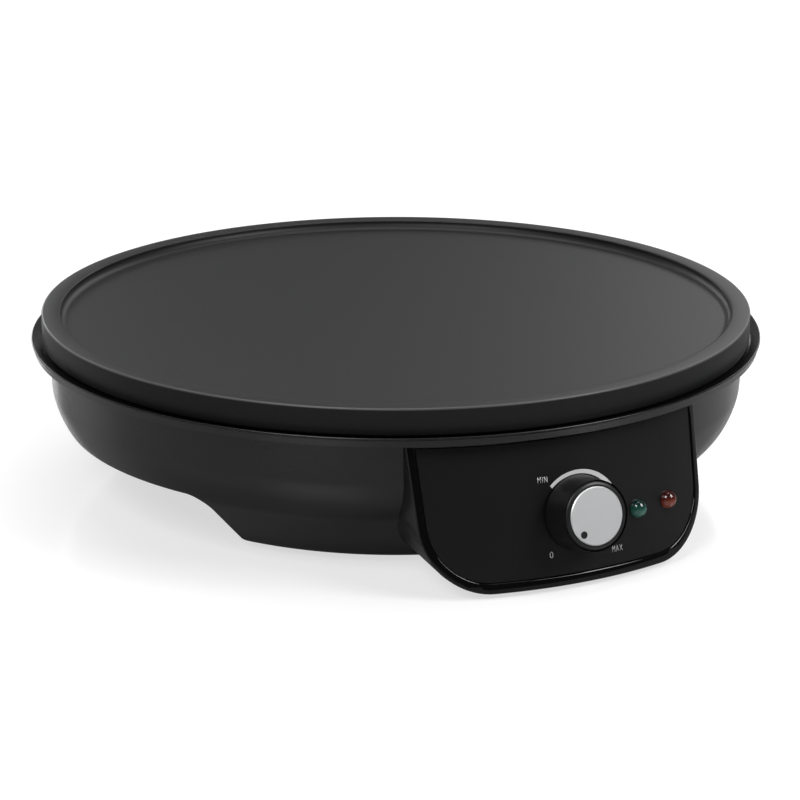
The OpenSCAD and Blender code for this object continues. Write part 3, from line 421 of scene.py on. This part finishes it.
def coated_plate():
    """PTFE coating sprayed and baked on cast aluminium: dark grey satin with a fine orange peel and
    faint lighter flecks of filler"""
    made, tree = new_tree("ptfe_coated_cast_aluminium")
    place = put(tree, "ShaderNodeTexCoord").outputs["Object"]
    peel = put(tree, "ShaderNodeTexNoise", {"Vector": place, "Scale": per_mm(0.9), "Detail": 4.0,
                                           "Roughness": 0.65})
    fleck = put(tree, "ShaderNodeTexNoise", {"Vector": place, "Scale": per_mm(0.5), "Detail": 1.0})
    share = put(tree, "ShaderNodeMapRange", {"Value": fleck.outputs["Fac"], "From Min": 0.55,
                                            "From Max": 0.75, "To Min": 0.0, "To Max": 0.35})
    colour = put(tree, "ShaderNodeMixRGB", {"Fac": share.outputs["Result"],
                                           "Color1": linear("#111112"),
                                           "Color2": linear("#242426")})
    # a painted highlight along the rim's outer rounded edge: a lighter colour there, with a
    # glossier finish
    parts = put(tree, "ShaderNodeSeparateXYZ", {"Vector": place})
    edge = put(tree, "ShaderNodeMapRange", {"Value": from_axis(tree, parts),
                                           "From Min": (PLATE_R - 0.75) / 1000,
                                           "From Max": (PLATE_R - 0.45) / 1000})
    high = put(tree, "ShaderNodeMapRange", {"Value": parts.outputs["Z"],
                                           "From Min": (RIM_Z - 0.9) / 1000,
                                           "From Max": (RIM_Z - 0.5) / 1000})
    painted_rim_highlight = put(tree, "ShaderNodeMath", {0: edge.outputs["Result"], 1: high.outputs["Result"]},
                 operation="MULTIPLY")
    # the painted highlight's lighter colour goes onto the rim's edge here
    skin = put(tree, "ShaderNodeMixRGB", {"Fac": painted_rim_highlight.outputs[0],
                                         "Color1": colour.outputs["Color"],
                                         "Color2": linear("#4c4c4e")})
    gloss = put(tree, "ShaderNodeMix", {"Factor": painted_rim_highlight.outputs[0], "A": 0.48, "B": 0.34},
                data_type="FLOAT")
    relief = put(tree, "ShaderNodeBump", {"Height": peel.outputs["Fac"], "Strength": 0.3,
                                         "Distance": 0.00003})
    shader = put(tree, "ShaderNodeBsdfPrincipled", {
        "Base Color": skin.outputs["Color"], "Roughness": gloss.outputs["Result"], "IOR": 1.38,
        "Normal": relief.outputs["Normal"]})
    put(tree, "ShaderNodeOutputMaterial", {"Surface": shader.outputs[0]})
    return made


def metal(name, colour, roughness):
    """Bare metal: its own colour in the reflection and a fine tooth from how it was worked"""
    made, tree = new_tree(name)
    place = put(tree, "ShaderNodeTexCoord").outputs["Object"]
    tooth = put(tree, "ShaderNodeTexNoise", {"Vector": place, "Scale": per_mm(0.3), "Detail": 3.0})
    rough = put(tree, "ShaderNodeMapRange", {"Value": tooth.outputs["Fac"],
                                            "From Min": 0.3, "From Max": 0.7,
                                            "To Min": roughness * 0.85, "To Max": roughness * 1.15})
    relief = put(tree, "ShaderNodeBump", {"Height": tooth.outputs["Fac"], "Strength": 0.2,
                                         "Distance": 0.00001})
    shader = put(tree, "ShaderNodeBsdfPrincipled", {
        "Base Color": linear(colour), "Metallic": 1.0, "Roughness": rough.outputs["Result"],
        "Normal": relief.outputs["Normal"]})
    put(tree, "ShaderNodeOutputMaterial", {"Surface": shader.outputs[0]})
    return made


def painted(name, colour, roughness, coat=0.0):
    """Printed ink, glaze or dyed rubber: flat colour with a slightly uneven skin"""
    made, tree = new_tree(name)
    place = put(tree, "ShaderNodeTexCoord").outputs["Object"]
    skin = put(tree, "ShaderNodeTexNoise", {"Vector": place, "Scale": per_mm(0.8), "Detail": 2.0})
    relief = put(tree, "ShaderNodeBump", {"Height": skin.outputs["Fac"], "Strength": 0.15,
                                         "Distance": 0.00002})
    shader = put(tree, "ShaderNodeBsdfPrincipled", {
        "Base Color": linear(colour), "Roughness": roughness, "Coat Weight": coat,
        "Normal": relief.outputs["Normal"]})
    put(tree, "ShaderNodeOutputMaterial", {"Surface": shader.outputs[0]})
    return made


def lens_plastic(name, deep, pale):
    """Tinted clear acrylic over a neon lamp that is off: deep colour, with painted light making it
    paler toward the foot of the dome, where the far side would gather the light"""
    made, tree = new_tree(name)
    place = put(tree, "ShaderNodeTexCoord").outputs["Object"]
    parts = put(tree, "ShaderNodeSeparateXYZ", {"Vector": place})
    cloud = put(tree, "ShaderNodeTexNoise", {"Vector": place, "Scale": per_mm(5), "Detail": 0.0})
    drift = put(tree, "ShaderNodeMath", {0: cloud.outputs["Fac"], 1: 0.002, 2: parts.outputs["Z"]},
                operation="MULTIPLY_ADD")
    # painted light: the colour turns paler low on the dome
    painted_light_fade = put(tree, "ShaderNodeMapRange", {"Value": drift.outputs[0],
                                           "From Min": LENS_PALE_Z / 1000,
                                           "From Max": LENS_DEEP_Z / 1000},
               interpolation_type="SMOOTHSTEP")
    colour = put(tree, "ShaderNodeMixRGB", {"Fac": painted_light_fade.outputs["Result"], "Color1": linear(pale),
                                           "Color2": linear(deep)})
    shader = put(tree, "ShaderNodeBsdfPrincipled", {
        "Base Color": colour.outputs["Color"], "Roughness": 0.07, "IOR": 1.49,
        "Transmission Weight": 0.08, "Coat Weight": 0.5})
    put(tree, "ShaderNodeOutputMaterial", {"Surface": shader.outputs[0]})
    return made


base_black = base_plastic()
plate_grey = coated_plate()
# The panel is ABS from a polished mould: black and even, with weak mirror images
panel_black = moulded("moulded_abs_panel_black", "#131314", 0.32, 0.01, specular=0.4)
# The knob is ABS from a finely eroded mould: black with a soft shine
knob_black = moulded("moulded_abs_knob_black", "#131314", 0.38, 0.015, grain=0.4)
# The cord's bushing is moulded nylon: black, a little duller than the knob
gland_black = moulded("moulded_nylon_black", "#121213", 0.4, 0.02)
# Aluminium disc, bead-blasted and anodised: pale and silky
cap_silver = metal("anodised_aluminium_cap", "#f0f1f2", 0.5)
# Pressed or headed steel, plated with zinc: grey with a soft shine
steel = metal("zinc_plated_steel", "#a9abae", 0.32)
# Stainless tube, annealed and used: dull, and a little browned by heat
element_steel = metal("annealed_stainless_tube", "#8d8984", 0.4)
# Rolled aluminium sheet: pale and bright
sheet_bright = metal("rolled_aluminium_sheet", "#c9cbce", 0.3)
# Drawn copper tube: warm and smooth
copper = metal("drawn_copper", "#c07f55", 0.3)
# Brass turned on a lathe: yellow and bright
brass = metal("turned_brass", "#b99a58", 0.28)
# Clear acrylic, tinted and moulded in a polished mould: dark, glossy drops of colour
lens_green = lens_plastic("tinted_acrylic_green", "#0c2a24", "#3f8573")
lens_red = lens_plastic("tinted_acrylic_red", "#38100c", "#93402c")
# A small lamp's blown glass: pale and glossy
# the lamp's glass takes the same painted light, paler low down
lamp_clear = lens_plastic("lamp_glass", "#b9b2a6", "#d8d2c8")
# Moulded rubber: black and nearly matt
rubber = painted("moulded_rubber", "#1a1a1a", 0.75)
# Steatite, pressed and glazed: off-white with a hard gloss
porcelain = painted("steatite_ceramic", "#e6e1d4", 0.3, 0.3)
# Phenolic, pressed hot: brown with a low shine
phenolic = painted("phenolic_moulding", "#4a3626", 0.4)
# Silicone sleeves, extruded over the leads: even colours with a soft shine
sleeve_brown = painted("silicone_sleeve_brown", "#6a3f24", 0.5)
sleeve_black = painted("silicone_sleeve_black", "#1c1c1d", 0.5)
sleeve_blue = painted("silicone_sleeve_blue", "#2f5687", 0.5)
# Pad-printed ink: a thin even film, pale grey on the panel and black on the cap
print_grey = painted("pad_printed_ink_grey", "#d4d4d4", 0.5)
print_black = painted("pad_printed_ink_black", "#070707", 0.5)

SLOTS = {
    "nonstick_plate": plate_grey, "base_plastic": base_black, "panel_plastic": panel_black,
    "knob_plastic": knob_black, "gland_plastic": gland_black, "cap_metal": cap_silver,
    "green_lens": lens_green, "red_lens": lens_red, "lamp_glass": lamp_clear, "rubber": rubber,
    "steel_parts": steel, "element_steel": element_steel, "reflector_sheet": sheet_bright,
    "ceramic_parts": porcelain, "copper_tube": copper, "brass_screws": brass, "stat_body": phenolic,
    "brown_sleeve": sleeve_brown, "black_sleeve": sleeve_black, "blue_sleeve": sleeve_blue,
}
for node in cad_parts.values():
    for place in node.material_slots:
        name = place.material.name.split(".")[0]
        place.material = SLOTS[name]


# ---------- base ----------
# Drawn round the plate's axis, and moved back to it at the end

def pod_half(z):
    return POD_FOOT_HALF + (z - BASE_GAP) * math.tan(POD_FLARE)


def face_radius(z):
    return FACE_TOP_R + (FLANGE_UNDER - z) * math.tan(LEAN)


def lean_on_face(piece):
    """Bends a piece that was made flat, with its depth along Y, to the pod's round leaning face"""
    for v in piece.data.vertices:
        x, depth, z = (c * 1000 for c in v.co)
        r = face_radius(z) - depth / math.cos(LEAN)
        v.co.y = -math.sqrt(r * r - x * x) / 1000


def pod_blank(inset, low, radius, top, front, back):
    """A flat block with the pod's outline: flared sides and two round lower corners"""
    low_half = pod_half(low) - inset
    top_half = pod_half(top) - inset
    bpy.ops.mesh.primitive_cube_add(size=1, location=(0, (front + back) / 2000, (low + top) / 2000),
                                    scale=(low_half / 500, (back - front) / 1000,
                                           (top - low) / 1000))
    piece = bpy.context.object
    settle(piece)
    choose(piece, "VERT", lambda p: p[0].z > (low + top) / 2000)
    bpy.ops.transform.resize(value=(top_half / low_half, 1, 1), center_override=(0, 0, 0))
    choose(piece, "EDGE", lambda p: len({round(q.x, 6) for q in p}) == 1
           and all(q.z < low / 1000 + 1e-5 for q in p))
    corner = (math.pi / 2 + POD_FLARE) / 2
    bpy.ops.mesh.bevel(offset=radius / math.tan(corner) / 1000, offset_type="OFFSET", segments=20,
                       profile=0.5, affect="EDGES", clamp_overlap=False)
    bpy.ops.object.mode_set(mode="OBJECT")
    return piece


def slice_up(piece, step_x, step_z, half, top):
    """Adds cuts across a flat piece, so that it can bend: steps, half width and height in
    millimetres"""
    pick(piece)
    bpy.ops.object.mode_set(mode="EDIT")
    for i in range(-int(half / step_x), int(half / step_x) + 1):
        bpy.ops.mesh.select_all(action="SELECT")
        bpy.ops.mesh.bisect(plane_co=(i * step_x / 1000, 0, 0), plane_no=(1, 0, 0))
    for i in range(1, int(top / step_z) + 1):
        bpy.ops.mesh.select_all(action="SELECT")
        bpy.ops.mesh.bisect(plane_co=(0, 0, i * step_z / 1000), plane_no=(0, 0, 1))
    bpy.ops.object.mode_set(mode="OBJECT")


def pod_loft(inset, low, radius, top):
    """The pod's form behind its face: straight in the nose, then with corners that grow rounder. It
    is a little loose, so that it doesn't touch the pod's flat sides"""
    loose = 0.05
    piece = pod_blank(inset - loose, low - loose, radius + loose, top + loose,
                      -FLANGE_R - 20, -POD_DEPTH)
    pick(piece)
    bpy.ops.object.mode_set(mode="EDIT")
    bpy.ops.mesh.select_all(action="SELECT")
    bpy.ops.mesh.bisect(plane_co=(0, -POD_NOSE_END / 1000, 0), plane_no=(0, 1, 0))
    growth = 1 + POD_GROW * (POD_NOSE_END - POD_DEPTH) / radius
    corner_x = pod_half(low - loose) - inset + loose
    for side in (-1, 1):
        choose(piece, "VERT", lambda p: p[0].y > -POD_DEPTH / 1000 - 1e-5 and p[0].x * side > 0
               and p[0].z < (low + radius + 1.2) / 1000)
        bpy.ops.transform.resize(value=(growth, 1, growth),
                                 center_override=(side * corner_x / 1000, 0, (low - loose) / 1000))
    bpy.ops.object.mode_set(mode="OBJECT")
    return piece


def edge_inset(p):
    """How far a point of the pod's flat outline lies inside its edge, in millimetres"""
    x, z = abs(p.x) * 1000, p.z * 1000
    middle = POD_FOOT_HALF + POD_ROUND * math.tan(POD_FLARE) - POD_ROUND / math.cos(POD_FLARE)
    if x > middle and z < BASE_GAP + POD_ROUND:
        return POD_ROUND - math.hypot(x - middle, z - BASE_GAP - POD_ROUND)
    return min(pod_half(z) - x, z - BASE_GAP)


def pod_outside():
    """The pod's outer form, with the panel's seat and window in a frame whose edges are rounded"""
    pod = pod_blank(0, BASE_GAP, POD_ROUND, FLANGE_UNDER + 0.1, 0, POD_DEPTH)
    seat_round = POD_ROUND - FRAME_SIDE
    cut(pod, pod_blank(FRAME_SIDE, BASE_GAP + FRAME_LOW, seat_round, FLANGE_UNDER - FRAME_TOP,
                       -1, PANEL_BACK))
    cut(pod, pod_blank(FRAME_SIDE + LEDGE, BASE_GAP + FRAME_LOW + LEDGE, seat_round - LEDGE,
                       FLANGE_UNDER - FRAME_TOP - LEDGE, -2, PANEL_BACK + WALL_T + 1))
    choose(pod, "EDGE", lambda p: all(q.y < 1e-6 and edge_inset(q) < 0.3 for q in p)
           and any(q.z * 1000 < FLANGE_UNDER - 1 for q in p))
    bpy.ops.mesh.bevel(offset=FRAME_OUT_ROUND / 1000, offset_type="OFFSET", segments=4, profile=0.5,
                       affect="EDGES", clamp_overlap=False)
    choose(pod, "EDGE", lambda p: all(q.y < 1e-6 and edge_inset(q) > 2.5
                                      and q.z * 1000 < FLANGE_UNDER - 1 for q in p))
    bpy.ops.mesh.bevel(offset=FRAME_IN_ROUND / 1000, offset_type="OFFSET", segments=4, profile=0.5,
                       affect="EDGES", clamp_overlap=False)
    slice_up(pod, step_x=2.5, step_z=6, half=65, top=60)
    lean_on_face(pod)
    clean(pod)
    cut(pod, pod_loft(0, BASE_GAP, POD_ROUND, FLANGE_UNDER + 1), "INTERSECT")
    return pod


def pod_inside():
    """The hollow behind the panel"""
    low = BASE_GAP + WALL_T
    corner = POD_ROUND - WALL_T
    hollow = pod_blank(WALL_T, low, corner, FLANGE_UNDER, PANEL_BACK + WALL_T, POD_DEPTH)
    slice_up(hollow, step_x=5, step_z=6, half=60, top=60)
    lean_on_face(hollow)
    clean(hollow)
    cut(hollow, pod_loft(WALL_T, low, corner, FLANGE_UNDER + 1), "INTERSECT")
    return hollow


def bowl(name, inset, flange=False):
    """The bowl's form, moved in by an inset: foot, slope, bend and upright wall"""
    low = BASE_GAP + inset
    wall = WALL_R - inset
    bend_z = BEND_Z - (BEND_R - inset) * math.tan(SLOPE / 2)
    foot_r = wall - (bend_z - low) * math.tan(SLOPE)
    wall_top = WALL_TOP_R - inset
    points = [(0, low), (foot_r, low), (wall, bend_z), (wall_top, FLANGE_UNDER)]
    rounds = [(1, FOOT_ROUND - inset, 10), (2, BEND_R - inset, 16)]
    if flange:
        # its outer face leans in a little, under a lip that stands out
        points += [(FLANGE_R - 0.4, FLANGE_UNDER), (FLANGE_R - 0.1, LIP_Z - 1.3),
                   (FLANGE_R + 0.6, LIP_Z - 0.8), (FLANGE_R + 0.5, LIP_Z),
                   (FLANGE_R - LIP_W, FLANGE_Z), (0, FLANGE_Z)]
        rounds += [(3, 2.5, 6), (4, 0.3, 3), (5, 0.15, 2), (6, 0.25, 3), (7, 0.35, 4), (8, 1.5, 4)]
    else:
        points += [(wall_top, FLANGE_Z + 1), (0, FLANGE_Z + 1)]
    return turned(drawn(name, points, rounds))


def arch(grow):
    """The arch from side to side, with mouths that spread. It can be moved out by a wall's
    thickness"""
    half = ARCH_HALF + grow
    flare = ARCH_FLARE - grow
    low = BASE_GAP + grow
    top = ARCH_Z + grow
    reach = half + flare + 0.01
    points = [(-reach, -1), (-reach, low), (-half, low), (-half, top),
              (half, top), (half, low), (reach, low), (reach, -1)]
    rounds = [(2, flare, 8), (3, ARCH_ROUND + grow, 12), (4, ARCH_ROUND + grow, 12), (5, flare, 8)]
    ends = FLANGE_R + 4
    piece = drawn_out(drawn("arch", points, rounds), 2 * ends)
    piece.rotation_euler = (0, 0, math.pi / 2)
    settle(piece)
    pick(piece)
    bpy.ops.object.mode_set(mode="EDIT")
    for side in (-1, 1):
        bpy.ops.mesh.select_all(action="SELECT")
        bpy.ops.mesh.bisect(plane_co=(side * ARCH_STRAIGHT / 1000, 0, 0), plane_no=(1, 0, 0))
    choose(piece, "VERT", lambda p: abs(p[0].x) * 1000 > ends - 1)
    spread = 1 + ARCH_SPREAD * (ends - ARCH_STRAIGHT) / ARCH_HALF
    bpy.ops.transform.resize(value=(1, spread, 1), center_override=(0, 0, 0))
    bpy.ops.object.mode_set(mode="OBJECT")
    return piece


def slot(x):
    """Round-ended vent slot"""
    bpy.ops.mesh.primitive_cube_add(size=1, location=(x / 1000, VENT_Y / 1000, 0.03),
                                    scale=(VENT_W / 1000, (VENT_L + VENT_W) / 1000, 0.01))
    piece = bpy.context.object
    settle(piece)
    choose(piece, "EDGE", lambda p: p[0].x == p[1].x and p[0].y == p[1].y)
    bpy.ops.mesh.bevel(offset=VENT_W / 2000 - 1e-6, segments=10, profile=0.5, affect="EDGES")
    bpy.ops.object.mode_set(mode="OBJECT")
    return piece


pan = BASE_GAP + WALL_T
roof = ARCH_Z + WALL_T
inside = bowl("inside", WALL_T)
cut(inside, pod_inside(), "UNION")
cut(inside, arch(WALL_T))

base = bowl("base_moulding", 0, flange=True)
cut(base, pod_outside(), "UNION")
cut(base, inside)
cut(base, arch(0))

POSTS = [(POST_R * math.cos(math.radians(a)), POST_R * math.sin(math.radians(a)))
         for a in POST_ANGLES]
FEET = [(s * FOOT_X, y) for s in (-1, 1) for y in (-FOOT_FRONT, FOOT_REAR)]
BRACKET = [(s * BRACKET_GAP / 2, -BRACKET_Y) for s in (-1, 1)]

bosses = [post(x, y, roof - ROOT, POST_TOP, POST_D) for x, y in POSTS]
bosses += [post(x, y, pan - ROOT, pan + FOOT_BOSS_H, FOOT_D) for x, y in FEET]
bosses += [post(x, y, pan - ROOT, pan + BRACKET_BOSS_H, BOSS_D) for x, y in BRACKET]
bosses.append(post(0, BLOCK_Y, pan - ROOT, pan + BLOCK_BOSS_H, BOSS_D))
cut(base, joined(bosses), "UNION")
cut(base, bar(GLAND_BACK, GLAND_SEAT, GLAND_FLAT_D), "UNION")
cut(base, bar(GLAND_SEAT, GLAND_SEAT + 10, GLAND_FLAT_D))

holes = [post(x, y, ARCH_Z - 1, POST_TOP + 1, POST_BORE) for x, y in POSTS]
holes += [post(x, y, BASE_GAP - 1, pan + 6, FOOT_BORE) for x, y in FEET]
holes += [post(x, y, pan + PILOT_FLOOR, pan + 6, PILOT_D) for x, y in BRACKET]
holes.append(post(0, BLOCK_Y, pan + PILOT_FLOOR, pan + 6, PILOT_D))
holes += [slot((i - (VENTS - 1) / 2) * VENT_PITCH) for i in range(VENTS)]
cut(base, joined(holes))
recesses = [post(x, y, ARCH_Z - 1, SCREW_SEAT, SCREW_RECESS_D) for x, y in POSTS]
recesses += [post(x, y, BASE_GAP - 1, BASE_GAP + FOOT_RECESS, FOOT_D + 0.4) for x, y in FEET]
cut(base, joined(recesses))
cut(base, bar(GLAND_BACK - 10.1, GLAND_SEAT + 10.4, GLAND_BORE))

base.location = (0, AXIS_Y / 1000, 0)
settle(base)
clean(base)
smooth(base)
base.data.materials.append(base_black)
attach(base, "base")
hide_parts("base_shell")


# ---------- plate ----------
# The plate that shows is turned anew, with true rounds. Its hidden underside stays the CAD's

skirt_in = PLATE_R - SKIRT_T
rim_in = PLATE_R - RIM_W
under = PLATE_UNDER + 0.1
plate = turned(drawn("plate_top", [
    (0, WELL_Z), (rim_in, WELL_Z), (rim_in, RIM_Z), (PLATE_R, RIM_Z), (PLATE_R, SKIRT_Z),
    (skirt_in, SKIRT_Z), (skirt_in, under), (0, under)],
    [(1, 3.2, 10), (2, 0.8, 4), (3, 0.7, 5), (4, 1.0, 5), (5, 0.6, 2), (6, 1.5, 3)]))
plate.location = (0, AXIS_Y / 1000, 0)
settle(plate)
smooth(plate)
plate.data.materials.append(plate_grey)

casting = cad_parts["cooking_plate"]
plate_under = casting.copy()
plate_under.data = casting.data.copy()
plate_under.parent = None
plate_under.name = "plate_under"
bpy.context.scene.collection.objects.link(plate_under)
clean(plate_under)
choose(plate_under, "FACE", lambda p: all(q.z * 1000 > PLATE_UNDER + 0.01 for q in p)
       or all(math.hypot(q.x, q.y - AXIS_Y / 1000) * 1000 > skirt_in - 2 for q in p))
bpy.ops.mesh.delete(type="FACE")
bpy.ops.object.mode_set(mode="OBJECT")
smooth(plate_under)

for piece in (plate, plate_under):
    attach(piece, "base")
    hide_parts("cooking_plate")


# ---------- marks printed on the panel ----------

def on_panel(piece):
    """A flat mark in X-Z, about the knob's centre, goes on the panel's round leaning face"""
    for v in piece.data.vertices:
        s, depth, up = (c * 1000 for c in v.co)
        z = KNOB_Z + up * math.cos(LEAN)
        r = face_radius(z) - (PANEL_INSET - INK_LIFT + depth) / math.cos(LEAN)
        a = s / r
        v.co = (r * math.sin(a) / 1000, (AXIS_Y - r * math.cos(a)) / 1000, z / 1000)


def thicken(piece):
    """Gives a flat mark the thickness of ink"""
    solid = piece.modifiers.new("ink", "SOLIDIFY")
    solid.thickness = INK_T / 1000
    solid.offset = 0
    apply_modifiers(piece)


# Heat sweep: a crescent between two circles, cut off at the left and pointed at the right. Each
# circle has its middle, right of the knob's axis and above it, and its radius
OUT_X, OUT_UP, OUT_R = 1.14, -1.79, 18.5
IN_X, IN_UP, IN_R = 0.72, -1.56, 16.7
out_middle = (OUT_X / 1000, 0, OUT_UP / 1000)
bpy.ops.mesh.primitive_circle_add(vertices=240, radius=OUT_R / 1000, location=out_middle,
                                  rotation=(math.pi / 2, 0, 0))
sweep = bpy.context.object
sweep.name = "heat_sweep"
settle(sweep)
pick(sweep)
bpy.ops.object.mode_set(mode="EDIT")
bpy.ops.mesh.select_all(action="SELECT")
bpy.ops.mesh.extrude_edges_move()
ratio = IN_R / OUT_R
bpy.ops.transform.resize(value=(ratio, ratio, ratio), center_override=out_middle)
bpy.ops.transform.translate(value=((IN_X - OUT_X) / 1000, 0, (IN_UP - OUT_UP) / 1000))
# the left end is square to the band, and the right end is slanted to a point
bpy.ops.mesh.select_all(action="SELECT")
bpy.ops.mesh.bisect(plane_co=(-0.0108, 0, 0.01135), plane_no=(-0.75, 0, -0.66), clear_outer=True)
bpy.ops.mesh.select_all(action="SELECT")
bpy.ops.mesh.bisect(plane_co=(0.0153, 0, 0.0082), plane_no=(0.41, 0, -0.91), clear_outer=True)
bpy.ops.object.mode_set(mode="OBJECT")
on_panel(sweep)
thicken(sweep)
marks = [sweep]

# Each word with its place right of the knob's axis and above it, and its letters' width
WORDS = (("MIN", -14.2, 14.6, 0.62), ("0", -13.3, -15.0, 0.95), ("MAX", 16.3, -17.2, 0.62))
for word, right, up, wide in WORDS:
    bpy.ops.object.text_add(location=(right / 1000, 0, up / 1000), rotation=(math.pi / 2, 0, 0))
    mark = bpy.context.object
    mark.name = "mark_" + word.lower()
    mark.data.body = word
    mark.data.size = LETTER_SIZE / 1000
    mark.data.align_x = "CENTER"
    mark.data.align_y = "CENTER"
    mark.data.space_character = 1.2
    mark.data.offset = -0.00002
    mark.scale = (wide, 1, 1)
    pick(mark)
    bpy.ops.object.convert(target="MESH")
    mark = bpy.context.object
    settle(mark)
    on_panel(mark)
    thicken(mark)
    marks.append(mark)

for mark in marks:
    mark.data.materials.append(print_grey)
    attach(mark, "base")

# Pointer dot, printed on the cap and over its small hole
bpy.ops.mesh.primitive_circle_add(vertices=48, radius=DOT_D / 2000, fill_type="NGON",
                                  location=(-DOT_OFF / 1000, 0, -DOT_OFF / 1000),
                                  rotation=(math.pi / 2, 0, 0))
dot = bpy.context.object
dot.name = "pointer_dot"
settle(dot)
dot.location = (0, -(CAP_FRONT + 0.02) / 1000, 0)
settle(dot)
dot.rotation_euler = (-LEAN, 0, 0)
dot.location = (0, (AXIS_Y - face_radius(KNOB_Z)) / 1000, KNOB_Z / 1000)
settle(dot)
thicken(dot)
dot.data.materials.append(print_black)
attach(dot, "knob")


# ---------- studio ----------
# A white table without an edge, soft light from above and from the sides, and a dark room in front

def backdrop_lift(tree):
    """The table's own light: for the camera and through glass it grows to pure white far from the
    object, and in a reflection it grows toward the back"""
    ray = put(tree, "ShaderNodeLightPath")
    place = put(tree, "ShaderNodeTexCoord").outputs["Object"]
    away = put(tree, "ShaderNodeVectorMath", {0: place}, operation="LENGTH")
    lift = put(tree, "ShaderNodeMapRange", {"Value": away.outputs["Value"],
                                           "From Min": LIFT_FROM, "From Max": LIFT_TO,
                                           "To Min": FLOOR_LIFT, "To Max": 1.0})
    straight = put(tree, "ShaderNodeMath", {0: seen_straight(tree, ray), 1: lift.outputs["Result"]},
                   operation="MULTIPLY")
    parts = put(tree, "ShaderNodeSeparateXYZ", {"Vector": place})
    behind = put(tree, "ShaderNodeMapRange", {"Value": parts.outputs["Y"],
                                             "From Min": REFLECTED_FROM,
                                             "From Max": REFLECTED_TO,
                                             "To Min": 0.0, "To Max": REFLECTED_LIFT})
    mirrored = put(tree, "ShaderNodeMath", {0: ray.outputs["Is Glossy Ray"],
                                            1: behind.outputs["Result"]}, operation="MULTIPLY")
    return put(tree, "ShaderNodeMath", {0: straight.outputs[0], 1: mirrored.outputs[0]},
               operation="MAXIMUM").outputs[0]


bpy.ops.mesh.primitive_plane_add(size=30, location=(0, 0, 0))
floor = bpy.context.object
floor.name = "floor"
made, tree = new_tree("white_table")
white = put(tree, "ShaderNodeBsdfPrincipled", {"Base Color": linear(FLOOR_GREY), "Roughness": 0.2})
glow = put(tree, "ShaderNodeEmission", {"Color": (1, 1, 1, 1), "Strength": backdrop_lift(tree)})
both = put(tree, "ShaderNodeAddShader", {0: white.outputs[0], 1: glow.outputs[0]})
put(tree, "ShaderNodeOutputMaterial", {"Surface": both.outputs[0]})
floor.data.materials.append(made)


def soft_light(name, place, aim, size, power):
    """A square soft box, aimed at a point. Sizes in metres, power in watts"""
    bpy.ops.object.light_add(type="AREA", location=place)
    lamp = bpy.context.object
    lamp.name = name
    lamp.data.shape = "RECTANGLE"
    lamp.data.size = size
    lamp.data.size_y = size
    lamp.data.energy = power
    way = [a - b for a, b in zip(aim, place)]
    flat = math.hypot(way[0], way[1])
    lamp.rotation_euler = (math.atan2(flat, -way[2]), 0, math.atan2(-way[0], way[1]))
    lamp.visible_camera = False


soft_light("light_above", (0.1, 0.5, 1.7), (0, 0, 0), 1.4, 16)
soft_light("light_front_left", (-1.3, -0.9, 1.5), (0, 0, 0.03), 0.9, 21)
soft_light("light_front_right", (1.05, -1.3, 1.35), (0, 0, 0.03), 0.9, 21)
soft_light("light_right", (1.25, 1.15, 0.85), (0, 0, 0.07), 0.7, 4.4)
soft_light("light_left", (-0.9, 1.2, 0.7), (-0.1, 0, 0.07), 0.7, 1.6)
soft_light("light_over_front", (0.78, -0.72, 1.3), (0, -0.1, 0.05), 0.4, 4)
soft_light("light_back", (0.1, 1.8, 0.55), (-0.1, 0.05, 0.07), 0.4, 3.6)

world = bpy.data.worlds.new("studio")
bpy.context.scene.world = world
world.use_nodes = True
tree = world.node_tree
tree.nodes.clear()
# the room is lighter behind the object, toward the back right, than in front of it
way = put(tree, "ShaderNodeTexCoord").outputs["Generated"]
toward = put(tree, "ShaderNodeVectorMath", {0: way, 1: (-0.45, -0.89, 0.0)},
             operation="DOT_PRODUCT")
room = put(tree, "ShaderNodeMapRange", {"Value": toward.outputs["Value"],
                                       "From Min": -0.6, "From Max": -0.1,
                                       "To Min": ROOM_BACK, "To Max": ROOM_FRONT})
ray = put(tree, "ShaderNodeLightPath")
shade = put(tree, "ShaderNodeMix", {"Factor": seen_straight(tree, ray), "A": room.outputs["Result"],
                                   "B": 1.0}, data_type="FLOAT")
sky = put(tree, "ShaderNodeBackground", {"Color": (1, 1, 1, 1),
                                         "Strength": shade.outputs["Result"]})
put(tree, "ShaderNodeOutputWorld", {"Surface": sky.outputs[0]})
